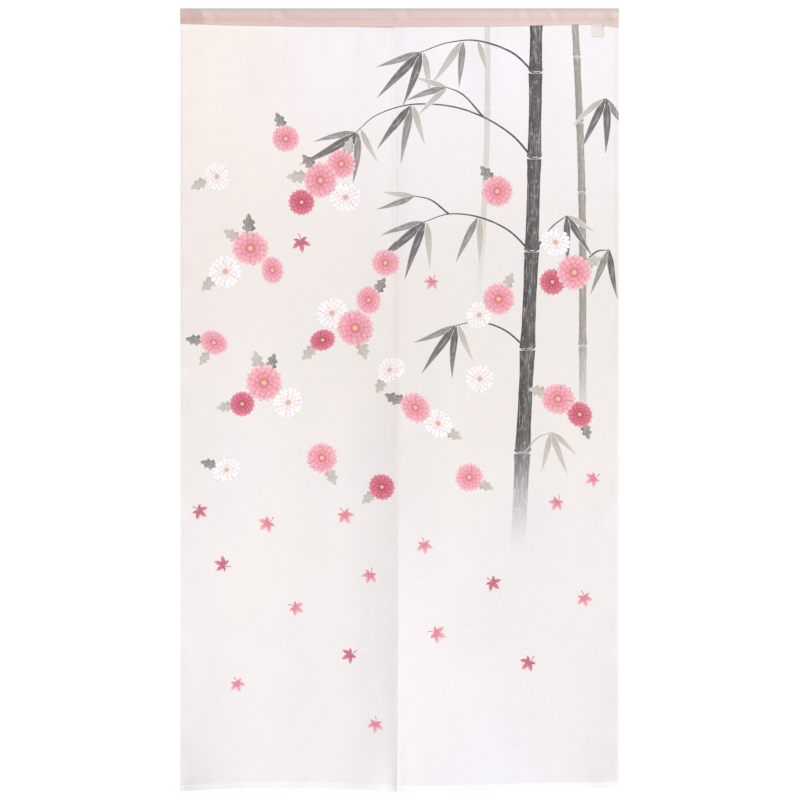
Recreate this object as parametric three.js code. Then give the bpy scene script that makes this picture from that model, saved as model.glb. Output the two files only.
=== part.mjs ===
// Noren: a split doorway curtain of two lapped cloth panels sewn into a folded
// heading strip, with a small blank label sewn to the heading's lower edge.
// Millimetres. Origin: middle of the heading's top edge. +X to the viewer's
// right, +Z up, the front of the cloth faces -Y.
import * as THREE from 'three';

// ---------------------------------------------------------------- sizes
const WIDTH = 840;            // finished width across the heading
const PANEL_W = 430;          // finished width of each panel
const LAP = 2 * PANEL_W - WIDTH; // overlap of the panels at the middle, 20
const PANEL_TOP = -25;        // the panels' top edges, inside the heading
const PANEL_L = 1470;         // finished length of each panel
const SEAM_V = 14;            // length of panel that stays flat in the heading seam

const CLOTH_T = 1.2;          // panel cloth
const HEM_EXTRA = 0.6;        // added at the back by a turned hem
const SIDE_HEM = 5;
const BOTTOM_HEM = 11.5;
const HEM_STEP = 1.5;         // run over which the hem's thickness ends

const STRIP_T = 1.2;          // heading cloth
const GAP = 0.3;              // clearance between sewn pieces
const POCKET_DEPTH = 12;      // heading across its fullest part, outside
const POCKET_MID_Z = -13;     // height of the fullest part
const LIP_TOP = -25.5;        // where the strip's two edges close on the panels
const LAP_SHIFT = 1.1;        // each panel gives way by this much at the lap
const LAP_FLAT = 20;          // run beyond the lap's edge that keeps the full shift
const LAP_RAMP = 80;          // run over which the shift fades

const LABEL_W = 23, LABEL_X = 378.5, LABEL_TOP = -26.5, LABEL_BOTTOM = -55, LABEL_T = 1.0, LABEL_CURL = 0.9;

// ---------------------------------------------------------------- tables
// Lower edge of the heading along its length: x from the middle, z of the edge.
const HEADING_EDGE = [
  { x: -420, z: -29.6 }, { x: -382, z: -30.5 }, { x: -325, z: -32.4 }, { x: -190, z: -34.9 },
  { x: 0, z: -35.6 }, { x: 116, z: -35.1 }, { x: 231, z: -33.9 }, { x: 307, z: -32.0 },
  { x: 362, z: -30.9 }, { x: 388, z: -31.9 }, { x: 402, z: -35.4 }, { x: 420, z: -37.2 },
];

// Fullness of the rod pocket along its length, as a factor on its half depth.
const POCKET_FULLNESS = [
  { x: -420, f: 0.95 }, { x: -300, f: 1.02 }, { x: -120, f: 0.98 }, { x: 60, f: 1.03 },
  { x: 220, f: 0.97 }, { x: 340, f: 1.02 }, { x: 420, f: 0.96 },
];

// Bottom edge of each panel: u across the panel, z of the edge.
const BOTTOM_EDGE = {
  left: [
    { u: 0, z: -1498.5 }, { u: 80, z: -1495.4 }, { u: 160, z: -1493.6 }, { u: 240, z: -1493.2 }, { u: 345, z: -1496.4 },
    { u: 400, z: -1501 }, { u: 430, z: -1500.5 },
  ],
  right: [
    { u: 0, z: -1501 }, { u: 60, z: -1501 }, { u: 140, z: -1499 }, { u: 280, z: -1496 }, { u: 430, z: -1494 },
  ],
};

// Sideways swing of each panel's slit edge down its length.
const SLIT_SWING = {
  left: [{ v: 0, dx: 0 }, { v: 500, dx: 1 }, { v: 950, dx: 3 }, { v: 1470, dx: 0 }],
  right: [{ v: 0, dx: 0 }, { v: 480, dx: 3.5 }, { v: 850, dx: 8 }, { v: 1120, dx: 7.5 }, { v: 1300, dx: 6 }, { v: 1470, dx: 5 }],
};

// Soft vertical folds: u at the fold's head and foot, half width, depth to the
// back (a ridge is negative), and where it starts, is full and ends down the panel.
const FOLDS = {
  left: [
    { head: 55, foot: 35, half: 26, depth: 0.9, from: 14, full: 50, to: 230 },
    { head: 132, foot: 118, half: 30, depth: -1.0, from: 14, full: 60, to: 260 },
    { head: 228, foot: 240, half: 34, depth: 0.9, from: 14, full: 55, to: 240 },
    { head: 318, foot: 330, half: 30, depth: -0.8, from: 14, full: 50, to: 200 },
    { head: 70, foot: 90, half: 95, depth: 2.2, from: 160, full: 620, to: 1180 },
    { head: 250, foot: 175, half: 115, depth: -5.5, from: 330, full: 1120, to: 1900 },
    { head: 330, foot: 318, half: 60, depth: -2.6, from: 520, full: 900, to: 1900 },
  ],
  right: [
    { head: 75, foot: 70, half: 24, depth: 0.8, from: 14, full: 45, to: 190 },
    { head: 128, foot: 134, half: 26, depth: -0.9, from: 14, full: 55, to: 240 },
    { head: 186, foot: 200, half: 28, depth: 1.1, from: 14, full: 55, to: 270 },
    { head: 246, foot: 268, half: 30, depth: -1.2, from: 14, full: 60, to: 290 },
    { head: 318, foot: 345, half: 34, depth: 1.1, from: 14, full: 60, to: 300 },
    { head: 150, foot: 112, half: 150, depth: -8.5, from: 660, full: 1220, to: 2000 },
    { head: 290, foot: 310, half: 120, depth: 2.0, from: 180, full: 660, to: 1420 },
  ],
};

// Edges and corners that turn: how far in from the edge, depth to the back at the
// edge, how sharply it turns, and where down the panel the turn starts and is full.
const EDGE_TURNS = {
  left: [
    { edge: 'slit', reach: 110, depth: 12, sharp: 3, from: 300, full: 880 },
    { edge: 'outer', reach: 150, depth: -8, sharp: 2, from: 1120, full: 1480 },
  ],
  right: [
    { edge: 'slit', reach: 130, depth: 6, sharp: 2, from: 660, full: 1220 },
    { edge: 'outer', reach: 110, depth: 7, sharp: 2, from: 700, full: 1480 },
  ],
};

// Curl of the bottom hem: u of each crest, half width and depth at the edge.
const HEM_CURL = {
  left: [{ u: 2, half: 36, depth: -7 }, { u: 130, half: 70, depth: 3 }, { u: 300, half: 60, depth: -2.5 }, { u: 410, half: 28, depth: -9 }],
  right: [{ u: 0, half: 16, depth: -4 }, { u: 30, half: 60, depth: -4 }, { u: 210, half: 80, depth: 3.5 }, { u: 350, half: 60, depth: -2 }],
};
const HEM_CURL_V = 1330;      // the curl starts this far down the panel

// ---------------------------------------------------------------- helpers
const { clamp, lerp, smoothstep } = THREE.MathUtils;

// straight-line reading of a table, with named columns
function along(table, key, value, at) {
  if (at <= table[0][key]) return table[0][value];
  for (let i = 1; i < table.length; i++) {
    const a = table[i - 1], b = table[i];
    if (at <= b[key]) return lerp(a[value], b[value], (at - a[key]) / (b[key] - a[key]));
  }
  return table[table.length - 1][value];
}

// the same reading with eased steps between the rows
function easedAlong(table, key, value, at) {
  if (at <= table[0][key]) return table[0][value];
  for (let i = 1; i < table.length; i++) {
    const a = table[i - 1], b = table[i];
    if (at <= b[key]) return lerp(a[value], b[value], smoothstep(at, a[key], b[key]));
  }
  return table[table.length - 1][value];
}

const bell = (d, half) => Math.exp(-1.4 * (d / half) * (d / half));
const ramp = (x, from, to) => clamp((x - from) / (to - from), 0, 1);

// A closed thin sheet between its front and back faces. mid(u, v) is its middle
// surface and thick(u, v) its reach to the front and to the back of that; hv is
// the step in v over which the surface's direction is taken.
function sheet(us, vs, mid, thick, hv = 0.5) {
  const nu = us.length, nv = vs.length, pos = [], idx = [];
  const at = (side, i, j) => side * nu * nv + j * nu + i;
  const hu = 0.5;
  const normal = (u, v) => {
    const a = mid(u + hu, v).sub(mid(u - hu, v)), b = mid(u, v + hv).sub(mid(u, v - hv));
    return a.cross(b).normalize();
  };
  for (const side of [0, 1]) {
    for (const v of vs) for (const u of us) {
      const reach = thick(u, v), n = normal(u, v);
      const p = mid(u, v).addScaledVector(n, side ? reach.back : -reach.front);
      pos.push(p.x, p.y, p.z);
    }
  }
  const quad = (a, b, c, d) => idx.push(a, b, c, a, c, d);
  for (let j = 0; j < nv - 1; j++) for (let i = 0; i < nu - 1; i++) {
    quad(at(1, i, j), at(1, i + 1, j), at(1, i + 1, j + 1), at(1, i, j + 1));
    quad(at(0, i, j), at(0, i, j + 1), at(0, i + 1, j + 1), at(0, i + 1, j));
  }
  const I = nu - 1, J = nv - 1;
  for (let i = 0; i < I; i++) {
    quad(at(0, i, 0), at(0, i + 1, 0), at(1, i + 1, 0), at(1, i, 0));
    quad(at(0, i + 1, J), at(0, i, J), at(1, i, J), at(1, i + 1, J));
  }
  for (let j = 0; j < J; j++) {
    quad(at(0, 0, j + 1), at(0, 0, j), at(1, 0, j), at(1, 0, j + 1));
    quad(at(0, I, j), at(0, I, j + 1), at(1, I, j + 1), at(1, I, j));
  }
  const g = new THREE.BufferGeometry();
  g.setAttribute('position', new THREE.Float32BufferAttribute(pos, 3));
  g.setIndex(idx);
  g.computeVertexNormals();
  return g;
}

const sorted = (list) => [...new Set(list.map((n) => Math.round(n * 1000) / 1000))].sort((a, b) => a - b);

// evenly stepped values from a to b, with extra stops
function stops(a, b, steps, ...extra) {
  const list = [];
  for (let i = 0; i <= steps; i++) {
    const n = lerp(a, b, i / steps);
    if (!extra.some((e) => Math.abs(e - n) < 0.3 * (b - a) / steps) || i === 0 || i === steps) list.push(n);
  }
  return sorted([...list, ...extra]);
}

// ---------------------------------------------------------------- panels
// Depth to the back of a panel's middle surface.
function depth(side, u, v) {
  const slitU = side === 'left' ? PANEL_W - u : u;     // distance from the slit edge
  const outerU = PANEL_W - slitU;
  let y = 0;
  for (const f of FOLDS[side]) {
    const open = smoothstep(v, f.from, f.full) * (1 - smoothstep(v, f.full, f.to));
    if (open > 0) y += f.depth * open * bell(u - lerp(f.head, f.foot, ramp(v, f.from, f.to)), f.half);
  }
  for (const t of EDGE_TURNS[side]) {
    const d = t.edge === 'slit' ? slitU : outerU;
    const in01 = clamp(1 - d / t.reach, 0, 1.1);
    y += t.depth * in01 ** t.sharp * smoothstep(v, t.from, t.full);
  }
  const curl = ramp(v, HEM_CURL_V, PANEL_L);
  for (const c of HEM_CURL[side]) y += c.depth * curl * curl * bell(u - c.u, c.half);
  // the lap: the left panel gives way to the back, the right one to the front
  const lap = 1 - ramp(slitU, LAP_FLAT + 10, LAP_FLAT + 10 + LAP_RAMP);
  return y + (side === 'left' ? LAP_SHIFT : -LAP_SHIFT) * lap;
}

// Place across the width: the cloth keeps its length along each row, so a deep
// fold draws the slit edge in.
const rowCache = new Map();
function across(side, u, v) {
  const key = side + v.toFixed(3);
  const STEP = 2, n = Math.ceil((PANEL_W + 4) / STEP);
  if (!rowCache.has(key)) {
    const run = [0];
    for (let i = 0; i < n; i++) {
      const s = i * STEP, a = side === 'left' ? s : PANEL_W - s, b = side === 'left' ? s + STEP : PANEL_W - s - STEP;
      const dy = depth(side, b, v) - depth(side, a, v);
      run.push(run[i] + Math.sqrt(Math.max(STEP * STEP - dy * dy, 0.04)));
    }
    rowCache.set(key, run);
  }
  const run = rowCache.get(key), s = side === 'left' ? u : PANEL_W - u;
  const i = clamp(Math.floor(s / STEP), 0, n - 1);
  return lerp(run[i], run[i + 1], s / STEP - i);
}

function panelMid(side, u, v) {
  const slitU = side === 'left' ? PANEL_W - u : u;
  const swing = easedAlong(SLIT_SWING[side], 'v', 'dx', v) * clamp(1 - slitU / PANEL_W, -0.01, 1.01);
  const x = (side === 'left' ? -WIDTH / 2 + across(side, u, v) : WIDTH / 2 - across(side, u, v)) + swing;
  const z = lerp(PANEL_TOP, easedAlong(BOTTOM_EDGE[side], 'u', 'z', u), v / PANEL_L);
  return new THREE.Vector3(x, depth(side, u, v), z);
}

// Reach of the cloth to the front and back: hems are turned to the back.
function panelThick(u, v) {
  const side = 1 - ramp(Math.min(u, PANEL_W - u), SIDE_HEM, SIDE_HEM + HEM_STEP);
  const foot = ramp(v, PANEL_L - BOTTOM_HEM - HEM_STEP, PANEL_L - BOTTOM_HEM);
  const sewn = ramp(v, SEAM_V, SEAM_V + 4);
  return { front: CLOTH_T / 2, back: CLOTH_T / 2 + HEM_EXTRA * Math.max(side * sewn, foot) };
}

function panel(side) {
  const lapEnds = [LAP_FLAT + 10, LAP_FLAT + 10 + LAP_RAMP].map((d) => (side === 'left' ? PANEL_W - d : d));
  const us = stops(0, PANEL_W, 14, SIDE_HEM, SIDE_HEM + HEM_STEP, PANEL_W - SIDE_HEM - HEM_STEP, PANEL_W - SIDE_HEM, ...lapEnds);
  const vs = stops(0, PANEL_L, 18, SEAM_V, SEAM_V + 4, 45, 100,
    PANEL_L - 40, PANEL_L - BOTTOM_HEM - HEM_STEP, PANEL_L - BOTTOM_HEM);
  return sheet(us, vs, (u, v) => panelMid(side, u, v), panelThick);
}

// ---------------------------------------------------------------- heading
// How far the strip's edges stand off to let both layers of the lap between them.
const lapBell = (x, from, to) => Math.min(ramp(x, from - LAP_RAMP, from), 1 - ramp(x, to, to + LAP_RAMP));

function headingMid(outline, x, w) {
  const n = outline.length - 1, i = clamp(Math.floor(w), 0, n - 1);
  const p = outline[i].clone().lerp(outline[i + 1], w - i);
  const edge = along(HEADING_EDGE, 'x', 'z', x), full = easedAlong(POCKET_FULLNESS, 'x', 'f', x);
  const lip = CLOTH_T / 2 + GAP + STRIP_T / 2;
  const front = p.x < 0;
  const ride = LAP_SHIFT * (front ? lapBell(x, -LAP / 2, LAP_FLAT) : lapBell(x, -LAP_FLAT, LAP / 2));
  // below the pocket the strip lies on the panels, above it swells into the pocket
  const swell = ramp(Math.abs(p.x), lip, POCKET_DEPTH / 2 - STRIP_T / 2);
  const y = Math.sign(p.x) * (Math.abs(p.x) * lerp(1, full, swell) + (p.y < POCKET_MID_Z ? ride * (1 - swell) : 0));
  const z = p.y < LIP_TOP ? lerp(LIP_TOP, edge, (p.y - LIP_TOP) / (-1)) : p.y;
  return new THREE.Vector3(x, y, z);
}

// The strip's middle line, from its front lower edge over the rod line to the back.
function headingOutline(steps) {
  const lip = CLOTH_T / 2 + GAP + STRIP_T / 2, half = POCKET_DEPTH / 2 - STRIP_T / 2, top = -STRIP_T / 2;
  const arc = new THREE.Path();
  arc.moveTo(-lip, LIP_TOP);
  arc.bezierCurveTo(-lip, LIP_TOP + 3.5, -half, POCKET_MID_Z - 8, -half, POCKET_MID_Z);
  arc.bezierCurveTo(-half, POCKET_MID_Z + 7.5, -half * 0.55, top, 0, top);
  const front = arc.getSpacedPoints(steps);
  const back = front.slice(0, -1).reverse().map((p) => new THREE.Vector2(-p.x, p.y));
  // one unit below the closing line stands for the whole sewn edge
  return [new THREE.Vector2(-lip, LIP_TOP - 1), ...front, ...back, new THREE.Vector2(lip, LIP_TOP - 1)];
}

function heading() {
  const outline = headingOutline(9), n = outline.length - 1;
  const xs = stops(-WIDTH / 2, WIDTH / 2, 14,
    -LAP / 2 - LAP_RAMP, -LAP_FLAT - LAP_RAMP, -LAP / 2, -LAP_FLAT, LAP_FLAT, LAP / 2, LAP_FLAT + LAP_RAMP, LAP / 2 + LAP_RAMP,
    ...HEADING_EDGE.slice(-4).map((r) => r.x));
  const ws = outline.map((_, i) => i);
  const reach = { front: STRIP_T / 2, back: STRIP_T / 2 };
  return sheet(xs, ws, (x, w) => headingMid(outline, x, clamp(w, 0, n)), () => reach, 0.25);
}

// ---------------------------------------------------------------- label
function label() {
  const steps = 5;
  const mid = (x, w) => {
    const z = lerp(LABEL_TOP, LABEL_BOTTOM, w);
    const lipFace = CLOTH_T / 2 + GAP + STRIP_T;         // the heading's sewn edge, which carries the label
    const back = -lipFace + (lipFace - CLOTH_T / 2 - LAP_SHIFT) * smoothstep(w, 0.3, 0.85); // it falls back below that edge
    const y = back - GAP - 0.1 - LABEL_T / 2 - LABEL_CURL * w * w * w;
    return new THREE.Vector3(x, y, z);
  };
  const xs = stops(LABEL_X - LABEL_W / 2, LABEL_X + LABEL_W / 2, 4), ws = stops(0, 1, steps);
  return sheetByRow(xs, ws, mid, LABEL_T);
}

// A small sheet whose thickness is taken straight to the front and back.
function sheetByRow(xs, ws, mid, t) {
  const flat = sheet(xs, ws, (x, w) => new THREE.Vector3(x, 0, -w), () => ({ front: t / 2, back: t / 2 }));
  const p = flat.getAttribute('position'), n = xs.length;
  for (let k = 0; k < p.count; k++) {
    const m = mid(xs[k % n], ws[Math.floor(k / n) % ws.length]);
    p.setXYZ(k, m.x, m.y + p.getY(k), m.z);
  }
  flat.computeVertexNormals();
  return flat;
}

// ---------------------------------------------------------------- assembly
const cloth = (color, roughness) => new THREE.MeshStandardMaterial({ color, roughness, metalness: 0 });

const noren = new THREE.Group();
function add(name, geometry, material) {
  const m = new THREE.Mesh(geometry, material);
  m.name = name;
  noren.add(m);
}
add('panel_left', panel('left'), cloth(0xf4ece9, 0.9));
add('panel_right', panel('right'), cloth(0xf6f0f1, 0.9));
add('heading_sleeve', heading(), cloth(0xe4cac5, 0.92));
add('label', label(), cloth(0xe6dfde, 0.6));

export default noren;
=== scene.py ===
import math

import bpy
import numpy as np
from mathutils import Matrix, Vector
from mathutils.geometry import delaunay_2d_cdt


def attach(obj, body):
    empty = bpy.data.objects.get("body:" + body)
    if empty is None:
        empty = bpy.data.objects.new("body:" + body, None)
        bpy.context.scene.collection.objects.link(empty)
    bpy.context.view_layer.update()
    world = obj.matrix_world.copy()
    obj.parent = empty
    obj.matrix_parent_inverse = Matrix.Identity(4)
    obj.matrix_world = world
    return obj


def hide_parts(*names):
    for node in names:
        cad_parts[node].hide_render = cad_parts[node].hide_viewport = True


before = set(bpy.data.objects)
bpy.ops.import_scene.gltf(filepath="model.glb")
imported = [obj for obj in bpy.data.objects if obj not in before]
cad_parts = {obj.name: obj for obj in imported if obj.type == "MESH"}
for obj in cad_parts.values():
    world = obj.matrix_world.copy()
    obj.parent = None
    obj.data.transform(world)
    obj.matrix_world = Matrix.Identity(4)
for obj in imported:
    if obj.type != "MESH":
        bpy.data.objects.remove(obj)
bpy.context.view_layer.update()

MM = 0.001
rng = np.random.default_rng(41)

# ------------------------------------------------------------------ sizes (mm)
WIDTH = 840.0
PANEL_W = 430.0
LAP = 2 * PANEL_W - WIDTH
PANEL_TOP = -25.0
PANEL_L = 1470.0
CLOTH_T = 0.7
SIDE_HEM = 5.0
BOTTOM_HEM = 11.5
HEM_BACK = 0.7
SEAM_V = 14.0

STRIP_T = 0.8
LIP = 1.5
POCKET_HALF = 5.4
POCKET_TOP = -0.6
POCKET_MID_Z = -13.0
LIP_TOP = -25.5
LAP_SHIFT, LAP_FLAT, LAP_RAMP = 1.1, 20.0, 80.0

LABEL_W, LABEL_X, LABEL_TOP, LABEL_BOTTOM = 23.0, 378.5, -26.4, -55.0

# ------------------------------------------------------------------ tables (mm)
HEADING_EDGE = [(-420, -29.6), (-382, -30.5), (-325, -32.4), (-190, -34.9), (0, -35.6), (116, -35.1),
                (231, -33.9), (307, -32.0), (362, -30.9), (388, -31.9), (402, -35.4), (420, -37.2)]
POCKET_FULLNESS = [(-420, .95), (-300, 1.02), (-120, .98), (60, 1.03), (220, .97), (340, 1.02), (420, .96)]
BOTTOM_EDGE = {
    "left": [(0, -1498.5), (80, -1495.4), (160, -1493.6), (240, -1493.2), (345, -1496.4), (400, -1501), (430, -1500.5)],
    "right": [(0, -1501), (60, -1501), (140, -1499), (280, -1496), (430, -1494)],
}
SLIT_SWING = {
    "left": [(0, 0), (500, 1), (950, 3), (1470, 0)],
    "right": [(0, 0), (480, 3.5), (850, 8), (1120, 7.5), (1300, 6), (1470, 5)],
}
# head u, foot u, half width, depth to the back, from v, full v, to v
FOLDS = {
    "left": [(55, 35, 26, .9, 14, 50, 230), (132, 118, 30, -1.0, 14, 60, 260), (228, 240, 34, .9, 14, 55, 240),
             (318, 330, 30, -.8, 14, 50, 200), (70, 90, 95, 2.2, 160, 620, 1180),
             (250, 175, 115, -5.5, 330, 1120, 1900), (330, 318, 60, -2.6, 520, 900, 1900)],
    "right": [(75, 70, 24, .8, 14, 45, 190), (128, 134, 26, -.9, 14, 55, 240), (186, 200, 28, 1.1, 14, 55, 270),
              (246, 268, 30, -1.2, 14, 60, 290), (318, 345, 34, 1.1, 14, 60, 300),
              (150, 112, 150, -8.5, 660, 1220, 2000), (290, 310, 120, 2.0, 180, 660, 1420)],
}
# edge, reach in, depth at the edge, how sharply it turns, from v, full v
EDGE_TURNS = {
    "left": [("slit", 110, 12, 3, 300, 880), ("outer", 150, -8, 2, 1120, 1480)],
    "right": [("slit", 130, 6, 2, 660, 1220), ("outer", 110, 7, 2, 700, 1480)],
}
# u of the crest, half width, depth at the hem
HEM_CURL = {
    "left": [(2, 36, -7), (130, 70, 3), (300, 60, -2.5), (410, 28, -9)],
    "right": [(0, 16, -4), (30, 60, -4), (210, 80, 3.5), (350, 60, -2)],
}
HEM_CURL_V = 1330.0
# small creases: u, v at one end, u, v at the other, half width, depth to the back
CREASES = {
    "left": [(18, 16, 70, 96, 9, .3), (108, 14, 92, 74, 8, -.25), (176, 14, 190, 88, 10, .3), (268, 14, 258, 66, 8, -.22),
             (352, 14, 344, 82, 9, .25), (392, 440, 330, 760, 26, .8), (24, 1130, 60, 1330, 26, -.7), (352, 1150, 372, 1420, 22, .6),
             (210, 1290, 190, 1440, 24, -.5)],
    "right": [(44, 14, 58, 92, 9, .28), (104, 14, 100, 60, 8, -.22), (152, 14, 168, 104, 10, .3), (222, 14, 236, 116, 9, -.3),
              (284, 14, 306, 122, 10, .3), (346, 14, 372, 108, 9, -.28), (404, 18, 392, 70, 8, .3),
              (58, 540, 96, 860, 28, .7), (410, 860, 380, 1120, 26, .7), (236, 1240, 226, 1450, 24, .5), (92, 1290, 104, 1450, 20, -.5)],
}
# heading wrinkles: x at the top, lean to the foot, half width, depth outwards
BAND_FRONT = [(-404, 8, 7, .8), (-380, 16, 6, -1.3), (-362, 18, 7, 1.2), (-300, 10, 10, -.5), (-246, 14, 8, -1.1), (-228, 16, 7, 1.0),
              (-150, -8, 14, .5), (-84, 10, 10, -.6), (-8, 12, 8, -1.0), (10, 14, 7, .9), (96, -10, 13, .5), (150, 8, 10, -.5),
              (226, 14, 6, -1.0), (240, 16, 6, .9), (284, 16, 6, -1.1), (298, 16, 7, 1.0), (356, 12, 7, -.7), (384, 16, 8, 1.1), (404, 12, 6, -1.0)]
BAND_BACK = [(-396, -10, 8, .8), (-330, 12, 9, -.9), (-240, 14, 9, .7), (-130, -12, 10, -.8), (-40, 10, 12, .6), (70, 12, 8, -.9),
             (160, -14, 10, .7), (262, 12, 8, -.9), (330, 14, 9, .8), (398, -10, 7, -.8)]


# ------------------------------------------------------------------ helpers
def ramp(x, a, b):
    return np.clip((np.asarray(x, float) - a) / (b - a), 0.0, 1.0)


def smooth(x, a, b):
    t = ramp(x, a, b)
    return t * t * (3 - 2 * t)


def bell(d, half):
    return np.exp(-1.4 * (d / half) ** 2)


def lerp(a, b, t):
    return a + (b - a) * t


def eased(table, at):
    """A table read with eased steps between its rows."""
    at = np.asarray(at, float)
    out = np.full(at.shape, float(table[0][1]))
    for (a, va), (b, vb) in zip(table, table[1:]):
        out = np.where(at > a, lerp(va, vb, smooth(at, a, b)), out)
    return out


def rounded(table, at, soft=9.0):
    """A table read straight, with its corners softened."""
    xs, ys = [r[0] for r in table], [r[1] for r in table]
    return sum(np.interp(np.asarray(at, float) + k * soft, xs, ys) for k in (-1, -.5, 0, .5, 1)) / 5


def lin(r, g, b):
    """A colour given in screen values, 0 to 255, as linear light."""
    c = np.array([r, g, b], float) / 255
    return np.where(c <= .04045, c / 12.92, ((c + .055) / 1.055) ** 2.4)


def unit(a):
    return a / np.maximum(np.linalg.norm(a, axis=-1, keepdims=True), 1e-9)


# ------------------------------------------------------------------ the panels' surface
def ripple(t, *waves):
    """An uneven small wave along an edge."""
    return sum(a * np.sin(2 * np.pi * t / w + p) for w, a, p in waves)


def depth(side, u, v):
    slit = PANEL_W - u if side == "left" else u
    outer = PANEL_W - slit
    y = np.zeros(np.broadcast(u, v).shape)
    for head, foot, half, deep, start, full, end in FOLDS[side]:
        held = smooth(v, start, full) * (1 - smooth(v, full, end))
        y = y + deep * held * bell(u - lerp(head, foot, ramp(v, start, end)), half)
    for edge, reach, deep, sharp, start, full in EDGE_TURNS[side]:
        inn = np.clip(1 - (slit if edge == "slit" else outer) / reach, 0, 1.1)
        y = y + deep * inn ** sharp * smooth(v, start, full)
    curl = ramp(v, HEM_CURL_V, PANEL_L) ** 2
    for at, half, deep in HEM_CURL[side]:
        y = y + deep * curl * bell(u - at, half)
    lap = 1 - smooth(slit, LAP_FLAT + 10, LAP_FLAT + 10 + LAP_RAMP)
    return y + (LAP_SHIFT if side == "left" else -LAP_SHIFT) * lap


def fine(side, u, v):
    """Creases, hem puckers and edge ripples that stand on the folds."""
    y = np.zeros(np.broadcast(u, v).shape)
    for ua, va, ub, vb, half, deep in CREASES[side]:
        du, dv = ub - ua, vb - va
        long = math.hypot(du, dv)
        t = ((u - ua) * du + (v - va) * dv) / long ** 2
        off = ((u - ua) * dv - (v - va) * du) / long
        y = y + deep * bell(off, half) * smooth(t, 0, .28) * (1 - smooth(t, .6, 1.0))
    slit = PANEL_W - u if side == "left" else u
    outer = PANEL_W - slit
    loose = smooth(v, 560, 820)
    k = 0.0 if side == "left" else 1.7
    y = y + ripple(v, (83, .42, k), (131, .5, 1 + k), (39, .16, 2 * k)) * np.exp(-(outer / 13) ** 2) * smooth(v, 30, 120)
    y = y + ripple(v, (97, .4, .6 + k), (61, .26, k)) * np.exp(-(slit / 13) ** 2) * loose
    if side == "left":
        # the lapped edge turns back a little more behind the other panel
        y = y + 2.0 * np.clip(1 - slit / 34, 0, 1.05) ** 2 * loose
    # the hems draw the cloth up a little between stitches
    foot = PANEL_L - v
    y = y + ripple(u, (57, .2, k), (83, .26, .7 + k), (31, .07, 2 + k)) * np.exp(-((foot - 10) / 16) ** 2)
    # the hem's seam lies in a hollow, the cloth bunches over it at the left corner, and the fold under it turns back
    corner = bell(u - 4, 36) if side == "left" else 0.0
    y = y + (.4 if side == "left" else .28) * np.exp(-((foot - BOTTOM_HEM + .3) / 1.6) ** 2)
    y = y - 2.4 * corner * np.exp(-((foot - BOTTOM_HEM - 7.5) / 5.5) ** 2)
    y = y + (1.3 if side == "left" else .4) * np.exp(-np.maximum(foot, 0) / 3.4)
    y = y + .16 * (np.exp(-((outer - SIDE_HEM + .6) / .9) ** 2) + np.exp(-((slit - SIDE_HEM + .6) / .9) ** 2)) * smooth(v, 16, 24)
    # the seam at the heading puckers the cloth
    y = y + ripple(u, (14.5, .05, k), (23, .08, 1 + k), (36, .1, 2 + k)) * smooth(v, 8, 13) * np.exp(-np.maximum(v - 12, 0) / 22)
    return y


TAB_U, TAB_V = 2.0, 5.0
RUNS = {}
for _side in ("left", "right"):
    _u = np.arange(0, PANEL_W + TAB_U + .1, TAB_U)
    _v = np.arange(0, PANEL_L + TAB_V + .1, TAB_V)
    _uu = _u if _side == "left" else PANEL_W - _u
    _y = depth(_side, _uu[None, :], _v[:, None])
    _dx = np.sqrt(np.maximum(TAB_U ** 2 - np.diff(_y, axis=1) ** 2, .04))
    RUNS[_side] = np.concatenate([np.zeros((len(_v), 1)), np.cumsum(_dx, axis=1)], axis=1)


def across(side, u, v):
    run = RUNS[side]
    s = np.clip((u if side == "left" else PANEL_W - u) / TAB_U, -0.5, run.shape[1] - 1.001)
    t = np.clip(v / TAB_V, 0, run.shape[0] - 1.001)
    i, j = np.maximum(np.floor(s).astype(int), 0), np.floor(t).astype(int)
    fs, ft = s - i, t - j
    return ((run[j, i] * (1 - fs) + run[j, i + 1] * fs) * (1 - ft)
            + (run[j + 1, i] * (1 - fs) + run[j + 1, i + 1] * fs) * ft)


def panel_mid(side, u, v):
    slit = PANEL_W - u if side == "left" else u
    swing = eased(SLIT_SWING[side], v) * np.clip(1 - slit / PANEL_W, -.01, 1.01)
    run = across(side, u, v)
    x = (-WIDTH / 2 + run if side == "left" else WIDTH / 2 - run) + swing
    z = lerp(PANEL_TOP, eased(BOTTOM_EDGE[side], u), v / PANEL_L)
    return np.stack([x, depth(side, u, v) + fine(side, u, v), z], axis=-1)


def panel_normal(side, u, v, h=.35):
    a = panel_mid(side, u + h, v) - panel_mid(side, u - h, v)
    b = panel_mid(side, u, v + h) - panel_mid(side, u, v - h)
    return unit(np.cross(a, b))


def panel_hem(u, v):
    """1 on a turned hem, 0 on the open cloth."""
    rim = 1 - smooth(np.minimum(u, PANEL_W - u), SIDE_HEM, SIDE_HEM + 1.2)
    foot = smooth(v, PANEL_L - BOTTOM_HEM - 1.2, PANEL_L - BOTTOM_HEM)
    return np.maximum(rim * smooth(v, SEAM_V, SEAM_V + 4), foot)


def panel_face(side, u, v, back):
    hem = panel_hem(u, v)
    reach = CLOTH_T / 2 + (HEM_BACK if back else .1) * hem
    return panel_mid(side, u, v) + (1 if back else -1) * panel_normal(side, u, v) * reach[..., None]


# ------------------------------------------------------------------ the printed design
# Drawn flat, x from the middle of the curtain and d down from its top edge.
INK = lin(58, 56, 59)
INK_SOFT = lin(104, 101, 100)
GREY = lin(128, 124, 119)
OLIVE = lin(176, 166, 148)
WASH = lin(206, 200, 190)
motifs = []


def motif(poly, paint, brush=None, inner=()):
    poly = np.asarray(poly, float)
    motifs.append(dict(poly=poly, paint=paint, brush=brush, inner=np.asarray(inner, float).reshape(-1, 2),
                       lo=poly.min(0), hi=poly.max(0)))


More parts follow.
